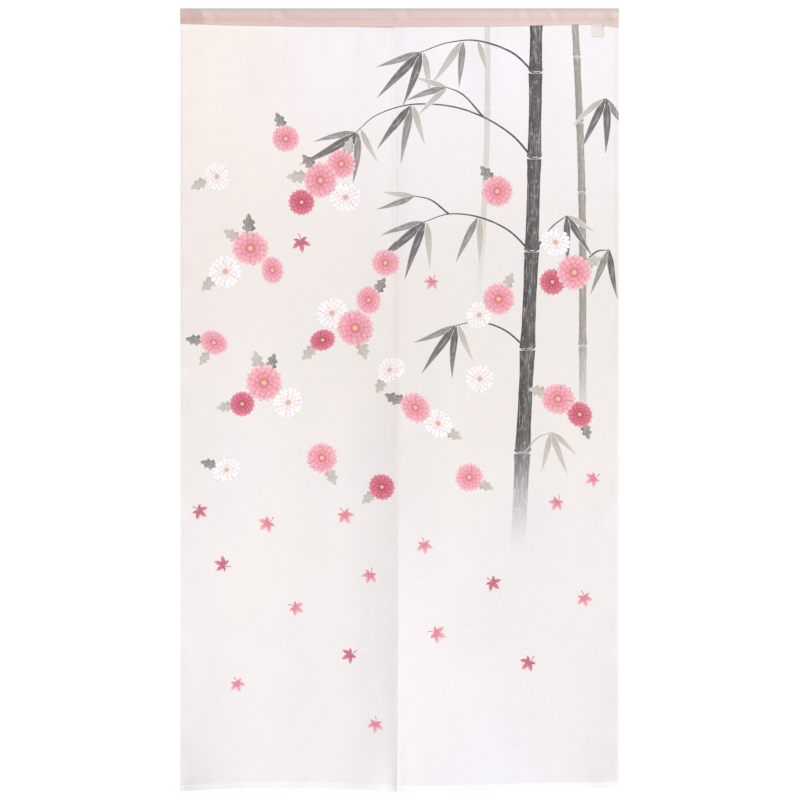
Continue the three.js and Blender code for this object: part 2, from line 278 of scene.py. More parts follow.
def flat_paint(rgb, cover):
    return lambda x, d: np.concatenate([np.broadcast_to(rgb, (len(x), 3)), np.full((len(x), 1), cover)], axis=1)


def stops(table, f):
    at = [t for t, _ in table]
    return np.stack([np.interp(f, at, [c[k] for _, c in table]) for k in range(3)], axis=1)


def spline(points, n):
    p = np.asarray(points, float)
    p = np.vstack([2 * p[0] - p[1], p, 2 * p[-1] - p[-2]])
    out = []
    for i in range(1, len(p) - 2):
        t = np.linspace(0, 1, n, endpoint=False)[:, None]
        a, b, c, e = p[i - 1], p[i], p[i + 1], p[i + 2]
        out.append(.5 * (2 * b + (c - a) * t + (2 * a - 5 * b + 4 * c - e) * t ** 2 + (3 * b - a - 3 * c + e) * t ** 3))
    return np.vstack(out + [p[-2:-1]])


def stroke(points, wide, thin, rgb, cover=.95, dry=.25, n=7):
    """A tapering brush stroke along a curve."""
    c = spline(points, n)
    tang = unit(np.gradient(c, axis=0))
    side = np.stack([-tang[:, 1], tang[:, 0]], axis=1)
    t = np.linspace(0, 1, len(c))
    half = lerp(wide, thin, t ** .8) / 2 * (1 + .08 * np.sin(9 * t + points[0][0]))
    poly = np.vstack([c + side * half[:, None], (c - side * half[:, None])[::-1]])
    base, way = np.array(points[0], float), unit(c[-1] - c[0])
    motif(poly, flat_paint(rgb, cover),
          lambda x, d: np.stack([(x - base[0]) * way[0] + (d - base[1]) * way[1],
                                 -(x - base[0]) * way[1] + (d - base[1]) * way[0], np.full(len(x), dry)], axis=1))


def leaf(x0, d0, deg, long, wide, rgb, pale, dry=.3, cover=.94, bend=10):
    """A narrow pointed leaf that bends a little along its length."""
    n = 15
    t = np.linspace(0, 1, n)
    way = np.radians(deg + bend * (t - .25))
    step = long / (n - 1)
    c = np.vstack([[x0, d0], np.array([x0, d0]) + np.cumsum(np.stack([np.cos(way), np.sin(way)], 1)[1:] * step, axis=0)])
    side = np.stack([-np.sin(way), np.cos(way)], 1)
    half = wide / 2 * np.where(t < .3, np.sin(np.clip(t / .3, 0, 1) * np.pi / 2) ** .8, 1 - np.clip((t - .3) / .7, 0, 1) ** 1.55)
    half = np.maximum(half, .25)
    poly = np.vstack([c + side * half[:, None], (c - side * half[:, None])[::-1]])
    gap = np.vstack([c[:-1] + side[:-1] * (half[:-1, None] + .9), [c[-1] + 1.2 * (c[-1] - c[-2]) / step], (c[:-1] - side[:-1] * (half[:-1, None] + .9))[::-1]])
    motif(gap[1:-1], flat_paint(WASH, 0.0))
    dirv = np.array([math.cos(math.radians(deg)), math.sin(math.radians(deg))])

    def paint(x, d):
        f = np.clip(((x - x0) * dirv[0] + (d - d0) * dirv[1]) / long, 0, 1)
        g = (-(x - x0) * dirv[1] + (d - d0) * dirv[0]) / wide
        mix = np.clip(.15 + .75 * f + .25 * g, 0, 1)[:, None]
        return np.concatenate([lerp(rgb, pale, mix), np.full((len(x), 1), cover) - .12 * f[:, None]], axis=1)

    motif(poly, paint, lambda x, d: np.stack([(x - x0) * dirv[0] + (d - d0) * dirv[1],
                                              -(x - x0) * dirv[1] + (d - d0) * dirv[0], np.full(len(x), dry)], axis=1), inner=c[2:-2])


def culm(top, foot, wide_top, wide_foot, nodes, rgb, pale, cover, fade_from, fade_to, dry):
    """A jointed stem: one brush stroke from joint to joint, with a dark bow at each joint."""
    top, foot = np.array(top, float), np.array(foot, float)

    def centre(d):
        t = (np.asarray(d, float) - top[1]) / (foot[1] - top[1])
        return lerp(top[0], foot[0], t) + 5 * np.sin(np.pi * t * 1.4), np.asarray(d, float)

    def width(d):
        return lerp(wide_top, wide_foot, (np.asarray(d, float) - top[1]) / (foot[1] - top[1]))

    def fade(d):
        return 1 - smooth(d, fade_from, fade_to)

    def paint(x, d):
        s = (x - centre(d)[0]) / (width(d) / 2)
        mix = np.clip(.62 * np.exp(-((s - .22) / .42) ** 2) + .18 * (s > .5), 0, 1)[:, None]
        return np.concatenate([lerp(rgb, pale, mix), (cover * fade(d))[:, None]], axis=1)

    def brush(x, d):
        return np.stack([d, x - centre(d)[0], np.clip(dry + .7 * (1 - fade(d)), 0, 1)], axis=1)

    for a, b in zip(nodes, nodes[1:]):
        ds = np.linspace(a + 2.2, b - 2.2, 13)
        t = (ds - a) / (b - a)
        half = width(ds) / 2 * (.93 + .15 * np.abs(2 * t - 1) ** 3.5) + rng.normal(0, .22, len(ds))
        half2 = width(ds) / 2 * (.93 + .15 * np.abs(2 * t - 1) ** 3.5) + rng.normal(0, .22, len(ds))
        cx, _ = centre(ds)
        right = np.stack([cx + half, ds], 1)
        left = np.stack([cx - half2, ds], 1)
        low = np.array([[cx[-1] + k * half[-1], ds[-1] + 1.4 * (1 - k * k)] for k in (.6, .2, -.2, -.6)])
        high = np.array([[cx[0] - k * half[0], ds[0] + 1.2 * (1 - k * k)] for k in (.6, .2, -.2, -.6)])
        inner = np.vstack([np.stack([cx + k * half, ds], 1) for k in (-.5, .05, .25, .55)])
        motif(np.vstack([right, low, left[::-1], high]), paint, brush, inner=inner[1:-1])
    for b in nodes[1:-1]:
        k = np.linspace(-1.12, 1.12, 11)
        cx, w = float(centre(b)[0]), float(width(b)) / 2
        upper = np.stack([cx + k * w, b - 1.6 + 2.2 * (1 - k ** 2) - 2.2 * np.abs(k) ** 6], 1)
        lower = np.stack([cx + k * w, b + .4 + 2.6 * (1 - k ** 2) - 2.0 * np.abs(k) ** 6], 1)
        f = float(fade(b))
        motif(np.vstack([upper, lower[::-1]]), flat_paint(rgb * .8, cover * f), brush)


TINTS = {
    "pink": [(0, lin(212, 78, 108)), (.28, lin(228, 112, 136)), (.52, lin(240, 154, 170)), (.8, lin(248, 190, 198)), (1, lin(251, 211, 215))],
    "rose": [(0, lin(166, 40, 76)), (.4, lin(206, 80, 110)), (.75, lin(229, 122, 144)), (1, lin(240, 160, 175))],
    "white": [(0, lin(240, 192, 201)), (.28, lin(248, 230, 233)), (.55, lin(254, 250, 250)), (1, lin(255, 255, 255))],
}
GROUND = {"pink": lin(224, 128, 149), "rose": lin(172, 60, 92), "white": lin(229, 204, 210)}
EYE = {"pink": lin(236, 205, 150), "rose": lin(234, 196, 142), "white": lin(226, 190, 140)}


def bloom(cx, cd, big, kind, spin, squash=1.0, lean=0.0):
    """A round many-petalled flower head: three rows of narrow petals about a small eye."""
    ca, sa = math.cos(lean), math.sin(lean)

    def out(p):
        p = np.asarray(p, float) * big
        a, b = p[..., 0] * ca + p[..., 1] * sa, (-p[..., 0] * sa + p[..., 1] * ca) * squash
        return np.stack([cx + a * ca - b * sa, cd + a * sa + b * ca], axis=-1)

    def away(x, d):
        px, pd = x - cx, d - cd
        a, b = px * ca + pd * sa, (-px * sa + pd * ca) / squash
        return np.hypot(a, b) / big

    t = np.array([0, .34, .68, .88, .96])
    body = np.array([.86, .9, .93, .74, .44])
    for count, r0, r1, turn in ((17, .46, 1.0, spin), (13, .27, .73, spin + .2), (9, .09, .46, spin + .5)):
        step = 2 * np.pi / count
        a = turn + step * (np.arange(4 * count) / 4)
        ground = (r1 + .5 / big) * np.tile([1, .965, .87, .965], count)
        motif(out(np.stack([ground * np.cos(a), ground * np.sin(a)], 1)), flat_paint(GROUND[kind], .92))
        for i in range(count):
            way = turn + step * (i + rng.uniform(-.07, .07))
            r = lerp(r0, r1 * (1 + rng.normal(0, .018)), np.append(t, 1.0))
            half = np.pi * r[:-1] / count * body - .12 / big
            c, q = math.cos(way), math.sin(way)
            edge = np.concatenate([np.stack([r[:-1], half], 1), [[r[-1], 0]], np.stack([r[:-1], -half], 1)[::-1]])
            tone = 1 + rng.normal(0, .025)

            def paint(x, d, r0=r0, r1=r1, tone=tone):
                f = np.clip(.5 * away(x, d) + .5 * (away(x, d) - r0) / (r1 - r0), 0, 1)
                return np.concatenate([np.minimum(stops(TINTS[kind], f) * tone, 1), np.full((len(x), 1), .96)], axis=1)

            motif(out(np.stack([edge[:, 0] * c - edge[:, 1] * q, edge[:, 0] * q + edge[:, 1] * c], 1)), paint)
    m = np.linspace(0, 2 * np.pi, 12, endpoint=False)
    motif(out(np.stack([.15 * np.cos(m), .15 * np.sin(m)], 1)), flat_paint(EYE[kind] * .86, .92))
    motif(out(np.stack([.10 * np.cos(m), .10 * np.sin(m)], 1)), flat_paint(EYE[kind], .95))


def lobed_leaf(x0, d0, deg, long, wide, rgb, pale):
    """A soft leaf with rounded lobes and a thin pale rib."""
    a = math.radians(deg)
    c, s = math.cos(a), math.sin(a)
    t = np.linspace(0, 1, 21)
    half = np.maximum(wide / 2 * np.sin(np.pi * t ** .8) ** .8 * (1 + .27 * np.cos(2 * np.pi * 3.1 * t + .5)), .3)
    run = long * t
    p = np.concatenate([np.stack([run, half], 1), np.stack([run + long * .035, -half * .96], 1)[::-1]])

    def put(p):
        return np.stack([x0 + p[:, 0] * c - p[:, 1] * s, d0 + p[:, 0] * s + p[:, 1] * c], 1)

    def paint(x, d):
        f = np.clip(((x - x0) * c + (d - d0) * s) / long, 0, 1)
        return np.concatenate([lerp(rgb, pale, (.1 + .8 * f)[:, None]), np.full((len(x), 1), .9)], axis=1)

    motif(put(p), paint, lambda x, d: np.stack([(x - x0) * c + (d - d0) * s, -(x - x0) * s + (d - d0) * c, np.full(len(x), .45)], axis=1))
    motif(put(np.array([[.04 * long, .55], [.9 * long, .12], [.9 * long, -.12], [.04 * long, -.55]])), flat_paint(pale * 1.06, .85))


def maple(cx, cd, deg, span, kind):
    """A small leaf with five pointed lobes on a thin stalk."""
    turn = math.radians(deg)
    lobes = [(-112, .62), (-55, .92), (0, 1.0), (55, .90), (112, .60)]

    def put(p):
        p = np.asarray(p, float)
        r, a = p[:, 0] * span, np.radians(p[:, 1]) + turn
        return np.stack([cx + r * np.cos(a), cd + r * np.sin(a)], 1)

    edge = [(.07, 180)]
    for i, (way, long) in enumerate(lobes):
        edge += [(.5 * long, way - 22), (.68 * long, way - 16), (.72 * long, way - 12), (.88 * long, way - 5), (long, way),
                 (.88 * long, way + 5), (.72 * long, way + 12), (.68 * long, way + 16), (.5 * long, way + 22)]
        if i < 4:
            edge.append((.37, (way + lobes[i + 1][0]) / 2))

    def paint(x, d):
        f = np.hypot(x - cx, d - cd) / span
        return np.concatenate([stops(TINTS[kind], np.clip(.12 + .86 * f, 0, 1)), np.full((len(x), 1), .94)], axis=1)

    stem = np.radians(deg + 180)
    c, s = math.cos(stem), math.sin(stem)
    stroke([(cx, cd), (cx + .3 * span * c - .03 * span * s, cd + .3 * span * s + .03 * span * c),
            (cx + .62 * span * c + .08 * span * s, cd + .62 * span * s - .08 * span * c)], 1.2, 1.7, TINTS[kind][1][1] * .8, .9, .1, 4)
    motif(put(edge), paint)
    for way, long in lobes:
        w = 25 / (span * long)
        motif(put([(.04, way + 90), (.86 * long, way + .35 * w), (.86 * long, way - .35 * w), (.04, way - 90)]), flat_paint(TINTS[kind][0][1], .7))


# stems: a pale one far behind, a grey one, and the dark one in front
culm((168, 24), (150, 640), 11, 12, [24, 74, 190, 316, 452, 600], WASH * .92, WASH, .55, 380, 600, .35)
culm((336, 24), (356, 860), 13.5, 15.5, [24, 92, 218, 352, 494, 646, 806, 860], GREY, OLIVE, .85, 600, 850, .4)
culm((262, 24), (226, 1080), 25, 31, [24, 122, 286, 464, 652, 850, 1060], INK, INK_SOFT, .95, 800, 1055, .42)

TWIGS = [
    [(256, 122), (214, 84), (150, 62), (92, 66), (40, 84)],
    [(254, 286), (214, 242), (160, 208), (96, 187), (20, 184), (-44, 204), (-84, 238)],
    [(248, 464), (206, 424), (150, 399), (92, 393), (44, 408)],
    [(258, 464), (290, 420), (320, 397)],
    [(242, 652), (200, 616), (150, 599), (104, 606)],
    [(340, 218), (366, 187), (396, 173)],
    [(348, 494), (376, 467), (402, 463)],
    [(160, 208), (122, 166), (88, 150)],
    [(92, 393), (58, 366), (24, 358)],
]
for t in TWIGS:
    stroke(t, 4.6, 1.6, INK, .93, .25)
stroke([(236, 850), (262, 822), (290, 812)], 3.4, 1.4, OLIVE, .8, .3)

# x, d, direction in degrees (90 is straight down), length, width, tone
LEAVES = [
    (40, 84, 161, 90, 13, 1), (40, 85, 135, 120, 16, 0), (42, 85, 107, 108, 15, 0), (46, 84, 80, 82, 12, 2),
    (118, 64, 123, 98, 14, 2), (122, 64, 96, 88, 13, 1), (150, 63, 72, 66, 10, 2),
    (-84, 238, 171, 84, 12, 1), (-84, 239, 147, 124, 16, 0), (-82, 239, 119, 126, 17, 0), (-80, 238, 92, 98, 14, 1), (-74, 232, 66, 70, 11, 2),
    (20, 186, 129, 104, 14, 0), (22, 186, 102, 112, 15, 1), (26, 186, 76, 78, 12, 2),
    (88, 150, 197, 62, 10, 2), (88, 151, 165, 82, 12, 1), (90, 152, 139, 76, 11, 2),
    (44, 408, 166, 86, 12, 1), (44, 409, 140, 122, 16, 0), (46, 409, 112, 116, 15, 0), (50, 409, 86, 90, 13, 2),
    (24, 358, 186, 60, 10, 2), (25, 359, 158, 74, 11, 1),
    (148, 400, 118, 96, 13, 1), (152, 400, 90, 88, 12, 2),
    (320, 397, 30, 62, 10, 2), (320, 398, 58, 90, 13, 0), (319, 398, 88, 96, 13, 0),
    (104, 606, 156, 88, 12, 1), (104, 607, 128, 112, 15, 0), (106, 607, 99, 100, 14, 0), (110, 606, 71, 74, 11, 2),
    (396, 173, 58, 70, 12, 1), (396, 174, 88, 104, 15, 0), (394, 174, 116, 108, 14, 0), (390, 174, 142, 78, 11, 2),
    (402, 463, 84, 96, 13, 0), (400, 463, 112, 92, 13, 1),
    (290, 812, 40, 66, 10, 2), (289, 813, 70, 86, 12, 2), (287, 813, 102, 78, 11, 2),
]
TONES = [(INK, INK_SOFT, .3, .95), (GREY * .8, GREY, .35, .9), (OLIVE, WASH, .25, .88)]
for x, d, deg, long, wide, tone in sorted(LEAVES, key=lambda r: -r[5]):
    rgb, pale, dry, cover = TONES[tone]
    leaf(x, d, deg, long, wide, rgb, pale, dry, cover, bend=float(rng.uniform(-14, 14)))

# x, d, radius, kind; drawn in this order
BLOOMS = [
    (-104, 362, 31, "white"), (-188, 372, 25, "rose"), (-112, 298, 28, "pink"), (-152, 330, 35, "pink"),
    (-334, 504, 31, "white"), (-244, 502, 27, "pink"), (-286, 460, 36, "pink"),
    (-130, 584, 31, "white"), (-148, 636, 25, "rose"), (-60, 558, 27, "pink"), (-86, 612, 35, "pink"),
    (-214, 756, 30, "white"), (-302, 758, 24, "rose"), (-260, 718, 35, "pink"),
    (68, 792, 29, "white"), (24, 762, 32, "pink"),
    (298, 448, 29, "white"), (292, 524, 25, "rose"), (334, 506, 34, "pink"),
    (344, 778, 26, "rose"), (302, 748, 33, "pink"),
    (150, 586, 27, "white"), (188, 556, 31, "pink"),
    (186, 350, 30, "pink"), (-350, 322, 28, "white"), (-28, 486, 26, "pink"), (-356, 640, 28, "pink"), (-150, 862, 29, "pink"),
    (-332, 884, 27, "white"), (128, 896, 27, "pink"), (-36, 914, 25, "rose"), (-218, 250, 26, "pink"),
    (-20, 690, 27, "white"), (150, 708, 27, "white"),
]
# bloom's number, direction in degrees in which the leaf looks out from behind it, length, tone
SPRIGS = [(3, 196, 40, 2), (3, 240, 34, 1), (2, -62, 34, 2), (6, -96, 40, 1), (6, -142, 36, 2), (4, 150, 36, 2), (9, -46, 34, 1), (10, 66, 38, 2),
          (8, 140, 36, 2), (13, -112, 38, 2), (13, -66, 34, 1), (12, 168, 32, 2), (15, 204, 36, 1), (14, 40, 34, 2), (18, -36, 36, 2),
          (20, 206, 36, 2), (19, 62, 32, 1), (22, -58, 34, 2), (23, -118, 36, 1), (24, 158, 34, 2), (26, 188, 34, 1), (26, 118, 30, 2),
          (27, 58, 36, 2), (29, 28, 32, 2), (31, -104, 34, 1), (32, 122, 32, 2), (28, 200, 32, 1), (30, 140, 32, 2)]
for i, deg, long, tone in SPRIGS:
    x, d, big, _ = BLOOMS[i]
    a = math.radians(deg)
    rgb, pale, _, _ = TONES[tone]
    lobed_leaf(x + .72 * big * math.cos(a), d + .72 * big * math.sin(a), deg + float(rng.uniform(-16, 16)), long, .56 * long, rgb, pale)
for x, d, big, kind in BLOOMS:
    bloom(x, d, big, kind, float(rng.uniform(0, 6.28)), float(rng.choice([1, 1, .9, .8])), float(rng.uniform(0, 3.14)))

# x, d, direction of the middle lobe, tint
DRIFT = [(-252, 986, 140, 0), (-108, 968, 60, 0), (-336, 1066, 200, 1), (-58, 1082, 110, 0), (-202, 1148, 30, 0), (-94, 1236, 150, 1),
         (-312, 1292, 70, 0), (40, 1022, 80, 0), (172, 1096, 45, 1), (300, 944, 120, 0), (352, 1128, 75, 0), (62, 1192, 20, 0),
         (246, 1250, 135, 1), (-46, 1366, 95, 0), (372, 900, 150, 0), (-386, 960, 40, 1), (60, 520, 120, 0), (-190, 446, 80, 1)]
for x, d, deg, tint in DRIFT:
    maple(x, d, deg, 19 + 5 * float(rng.uniform()), ("pink", "rose")[tint])


# ------------------------------------------------------------------ cloth colours
def cloth_colour(x, d, hem):
    """Open cloth: lightest at the top with a breath of warm pink at the left, cooler towards the foot, hems lighter."""
    rows = [(70, (.962, .925, .972)), (560, (.880, .838, .820)), (1120, (.893, .858, .860)), (1480, (.857, .829, .861))]
    c = np.stack([eased([(at, rgb[k]) for at, rgb in rows], d) for k in range(3)], axis=1)
    warm = (1 - smooth(d, 40, 760)) * (1 - smooth(x, -420, 60))
    c = c * (1 - warm[:, None] * np.array([0, .040, .120]))
    # a little less cream down the left side, and a cool patch of painted light low on the right panel
    pale = np.exp(-((d - 520) / 190) ** 2) * (1 - smooth(x, -400, -120))
    painted_light_patch = np.exp(-((x - 170) / 76) ** 2) * smooth(d, 1180, 1330)
    c = c * (1 + pale[:, None] * np.array([.026, .010, .036]) + painted_light_patch[:, None] * np.array([.044, .046, .068]))
    c = c * (1 + (painted_light_patch * smooth(d, 1390, 1470))[:, None] * np.array([0, .015, .042]))
    white = lerp(np.array([.898, .884, .891]), np.array([.954, .954, .958]), smooth(x, -40, 60)[:, None])
    return np.clip(lerp(c, white, hem[:, None]), 0, 1)


# ------------------------------------------------------------------ meshes
def new_object(name, verts, faces, material, smooth_shade=True):
    me = bpy.data.meshes.new(name)
    me.from_pydata((np.asarray(verts) * MM).tolist(), [], faces if isinstance(faces, list) else faces.tolist())
    me.update()
    if smooth_shade:
        me.polygons.foreach_set("use_smooth", np.ones(len(me.polygons), bool))
    me.materials.append(material)
    ob = bpy.data.objects.new(name, me)
    bpy.context.scene.collection.objects.link(ob)
    return ob


def put_attr(me, name, kind, domain, data):
    a = me.attributes.new(name, kind, domain)
    a.data.foreach_set("color" if kind == "FLOAT_COLOR" else "vector", np.ascontiguousarray(data, np.float32).ravel())


def put_uv(me, uv):
    layer = me.uv_layers.new(name="OFBake")
    layer.data.foreach_set("uv", np.ascontiguousarray(uv, np.float32).ravel())
    layer.active = True
    layer.active_render = True


def inside(poly, x, y):
    """Which points lie in the polygon."""
    hit = np.zeros(len(x), bool)
    j = len(poly) - 1
    for i in range(len(poly)):
        xi, yi, xj, yj = poly[i, 0], poly[i, 1], poly[j, 0], poly[j, 1]
        if yi != yj:
            hit ^= ((yi > y) != (yj > y)) & (x < (xj - xi) * (y - yi) / (yj - yi) + xi)
        j = i
    return hit


def spread(a, b, step, *extra):
    base = [n for n in np.linspace(a, b, int(round((b - a) / step)) + 1) if all(abs(n - e) > step * .35 for e in extra) or n in (a, b)]
    return np.array(sorted(set(np.round(base + list(extra), 4))))


def panel(side, material):
    shift = WIDTH / 2 if side == "left" else WIDTH / 2 - (WIDTH - PANEL_W)
    W, L = PANEL_W, PANEL_L
    h = SIDE_HEM
    us = spread(0, W, 6.6, 1.2, h - 1.6, h - .6, h + .4, h + 1.4, h + 4, W - h - 4, W - h - 1.4, W - h - .4, W - h + .6, W - h + 1.6, W - 1.2,
                *((W - 12, W - 15, W - 18, W - 21, W - 24, W - 27, W - 31) if side == "left" else ()))
    vs = spread(0, L, 8.4, 4, 9, 12, 14, 17, 21, 26, *(L - BOTTOM_HEM + np.array([-9, -6, -4, -2.6, -1.4, -.2, 1, 2.2, 3.8, 5.9, 7.9, 9.5, 10.6])))
    own = []
    for m in motifs:
        lo, hi = m["lo"] + (shift, PANEL_TOP), m["hi"] + (shift, PANEL_TOP)
        if hi[0] > 1 and lo[0] < W - 1 and hi[1] > 1 and lo[1] < L - 1:
            own.append(m)
    # keep the grid's points off the drawn outlines
    taken = np.zeros((int(W) + 9, int(L) + 9), bool)
    for m in own:
        p = m["poly"] + (shift, PANEL_TOP)
        q = np.roll(p, -1, axis=0)
        n = max(2, int(np.max(np.linalg.norm(q - p, axis=1))) + 1)
        s = np.concatenate([lerp(p, q, k) for k in np.linspace(0, 1, n)] + [m["inner"] + (shift, PANEL_TOP)])
        i, j = np.round(s).astype(int).T
        for di in (-2, -1, 0, 1, 2):
            for dj in (-2, -1, 0, 1, 2):
                a, b = i + di, j + dj
                ok = (a >= 0) & (a < taken.shape[0]) & (b >= 0) & (b < taken.shape[1])
                taken[a[ok], b[ok]] = True
    uu, vv = np.meshgrid(us, vs)
    edge = (uu == us[0]) | (uu == us[-1]) | (vv == vs[0]) | (vv == vs[-1])
    hemmed = (panel_hem(uu, vv) > .01) | (vv < 30)
    free = ~taken[np.round(uu).astype(int), np.round(vv).astype(int)]
    keep = edge | free | (hemmed & free)
    pts = np.stack([uu[keep], vv[keep]], 1)
    index = -np.ones(keep.shape, int)
    index[keep] = np.arange(keep.sum())
    edges = []
    for row in (index[0], index[-1], index[:, 0], index[:, -1]):
        edges += list(zip(row[:-1].tolist(), row[1:].tolist()))
    allpts = [pts]
    n = len(pts)
    for m in own:
        p = m["poly"] + (shift, PANEL_TOP)
        k = len(p)
        edges += [(n + i, n + (i + 1) % k) for i in range(k)]
        allpts.append(p)
        n += k
        if len(m["inner"]):
            q = m["inner"] + (shift, PANEL_TOP)
            allpts.append(q)
            n += len(q)
    allpts = np.vstack(allpts)
    got = delaunay_2d_cdt([Vector(p) for p in allpts.tolist()], edges, [], 0, 1e-3, False)
    flat = np.array([tuple(p) for p in got[0]], float)
    tri = np.array([f for f in got[2] if len(f) == 3], int)
    cen = flat[tri].mean(1)
    tri = tri[(cen[:, 0] > 0) & (cen[:, 0] < W) & (cen[:, 1] > 0) & (cen[:, 1] < L)]
    a, b, c = flat[tri[:, 0]], flat[tri[:, 1]], flat[tri[:, 2]]
    area = (b[:, 0] - a[:, 0]) * (c[:, 1] - a[:, 1]) - (b[:, 1] - a[:, 1]) * (c[:, 0] - a[:, 0])
    tri[area < 0] = tri[area < 0][:, ::-1]
    used = np.unique(tri)
    new = -np.ones(len(flat), int)
    new[used] = np.arange(len(used))
    flat, tri = flat[used], new[tri]
    flat[:, 0] = np.clip(flat[:, 0], 0, W)
    flat[:, 1] = np.clip(flat[:, 1], 0, L)
    u, v = flat[:, 0], flat[:, 1]
    n = len(flat)
    # rim
    e = np.concatenate([tri[:, [0, 1]], tri[:, [1, 2]], tri[:, [2, 0]]])
    key = np.sort(e, axis=1)
    _, first, count = np.unique(key[:, 0].astype(np.int64) * n + key[:, 1], return_index=True, return_counts=True)
    rim = e[first[count == 1]]
    a, b = rim[:, 0], rim[:, 1]
    rim_tri = np.concatenate([np.stack([b + n, a + n, a], 1), np.stack([b + n, a, b], 1)])
    verts = np.concatenate([panel_face(side, u, v, False), panel_face(side, u, v, True)])
    faces = np.concatenate([tri[:, ::-1], tri + n, rim_tri])
    ob = new_object("cloth_" + side, verts, faces, material)
    me = ob.data
    nt = len(tri)
    # print: the uppermost motif at each face
    cx, cd = flat[tri].mean(1).T
    cx, cd = cx - shift, cd - PANEL_TOP
    top = -np.ones(nt, int)
    for i, m in enumerate(own):
        near = np.nonzero((cx >= m["lo"][0]) & (cx <= m["hi"][0]) & (cd >= m["lo"][1]) & (cd <= m["hi"][1]))[0]
        if len(near):
            top[near[inside(m["poly"], cx[near], cd[near])]] = i
    colour = np.zeros((nt, 3, 4))
    colour[..., :3] = .9
    brush = np.zeros((nt, 3, 3))
    for i, m in enumerate(own):
        sel = np.nonzero(top == i)[0]
        if len(sel):
            x, d = flat[tri[sel]].reshape(-1, 2).T
            x, d = x - shift, d - PANEL_TOP
            colour[sel] = m["paint"](x, d).reshape(-1, 3, 4)
            if m["brush"]:
                brush[sel] = m["brush"](x, d).reshape(-1, 3, 3)
    behind = colour.copy()
    behind[..., 3] *= .42
    none = np.zeros((len(rim_tri), 3, 4))
    none[..., :3] = .9
    put_attr(me, "print", "FLOAT_COLOR", "CORNER", np.concatenate([colour[:, ::-1], behind, none]))
    brush[..., :2] *= MM
    put_attr(me, "brush", "FLOAT_VECTOR", "CORNER", np.concatenate([brush[:, ::-1], brush, np.zeros((len(rim_tri), 3, 3))]))
    hem = panel_hem(u, v)
    outer = u if side == "left" else W - u
    foot = smooth(v, L - BOTTOM_HEM - 1.2, L - BOTTOM_HEM)
    slit, low = W - outer, smooth(v, 460, 860)
    # the slit's hem is paler for its doubled cloth, with painted light added lower down where its edge catches the
    # light
    rim = (1 - smooth(slit, SIDE_HEM - 1, SIDE_HEM)) * lerp(.1, .6, smooth(v, 500, 1000))
    rgb = cloth_colour(u - shift, v - PANEL_TOP, np.maximum(foot, rim))
    # the side hem looks a little creamier above and lighter below
    wide = (3.4, 5.2) if side == "left" else (6.0, 10.0)
    edge = (1 - smooth(outer, *wide)) * (1 - foot)
    rgb = rgb * (1 + edge[:, None] * lerp(np.array([-.03, -.032, -.038 if side == "left" else -.055]), np.array([.035, .035, .03]), low[:, None]))
    # a painted highlight lightens the strip of cloth just under the heading
    rgb = lerp(rgb, np.array([.97, .95, .95]), (.6 * (1 - smooth(v, 12, 17)))[:, None])
    # painted shade along the lap: the sewn part beside the slit, thin painted shadow lines beside the lapped edge, and
    # a deeper patch beside the slit at mid height
    if side == "right":
        painted_lap_shade = .045 * np.exp(-(slit / 24) ** 2) * (1 - smooth(v, 420, 900)) + .03 * np.exp(-(slit / 5) ** 2) * smooth(v, 240, 420) * (1 - smooth(v, 800, 1000))
        painted_lap_shade = painted_lap_shade + .034 * bell(v - 940, 260) * (1 - smooth(slit, 20, 110))
    else:
        painted_lap_shade = .055 * np.exp(-((slit - LAP - 2.5) / 4.5) ** 2) * (1 - smooth(v, 330, 760))
    rgb = np.clip(rgb * (1 - painted_lap_shade)[:, None], 0, 1)
    rgba = np.concatenate([rgb, hem[:, None]], 1)
    put_attr(me, "cloth", "FLOAT_COLOR", "POINT", np.concatenate([rgba, rgba]))
    place = np.stack([(u - shift) * MM, (v - PANEL_TOP) * MM, np.full(n, 0.0 if side == "left" else 3.0)], 1)
    put_attr(me, "flat", "FLOAT_VECTOR", "POINT", np.concatenate([place, place]))
    # flat layout of the two faces and the rim
    fu, fv = u / W, 1 - v / L
    uv_front = np.stack([.006 + .60 * fu, .005 + .99 * fv], 1)
    uv_back = np.stack([.614 + .36 * (1 - fu), .005 + .99 * fv], 1)
    r = flat[np.stack([b, a, a, b], 1)]
    on = np.where(np.abs(flat[a, 0] - flat[b, 0]) < 1e-3, np.where(flat[a, 0] < W / 2, 0, 1), np.where(flat[a, 1] < L / 2, 2, 3))
    lane = .979 + .005 * on
    run = np.where(on < 2, 1, 0)[:, None] * (1 - r[..., 1] / L) + np.where(on < 2, 0, 1)[:, None] * r[..., 0] / W * .3
    uu4 = lane[:, None] + np.array([.003, .003, 0, 0])
    q = np.stack([uu4, .005 + .99 * run], -1)
    uv_rim = np.concatenate([q[:, [0, 1, 2]], q[:, [0, 2, 3]]])
    put_uv(me, np.concatenate([uv_front[tri[:, ::-1]], uv_back[tri], uv_rim]))
    nrm = panel_normal(side, u, v)
    p0, p1, p2 = (verts[rim_tri[:, k]] for k in range(3))
    out = np.repeat(unit(np.cross(p1 - p0, p2 - p0))[:, None], 3, axis=1)
    corner = np.concatenate([-nrm[tri[:, ::-1]], nrm[tri], out]).reshape(-1, 3)
    me.normals_split_custom_set(corner.tolist())
    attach(ob, "root")
    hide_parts("panel_" + side)
    return ob


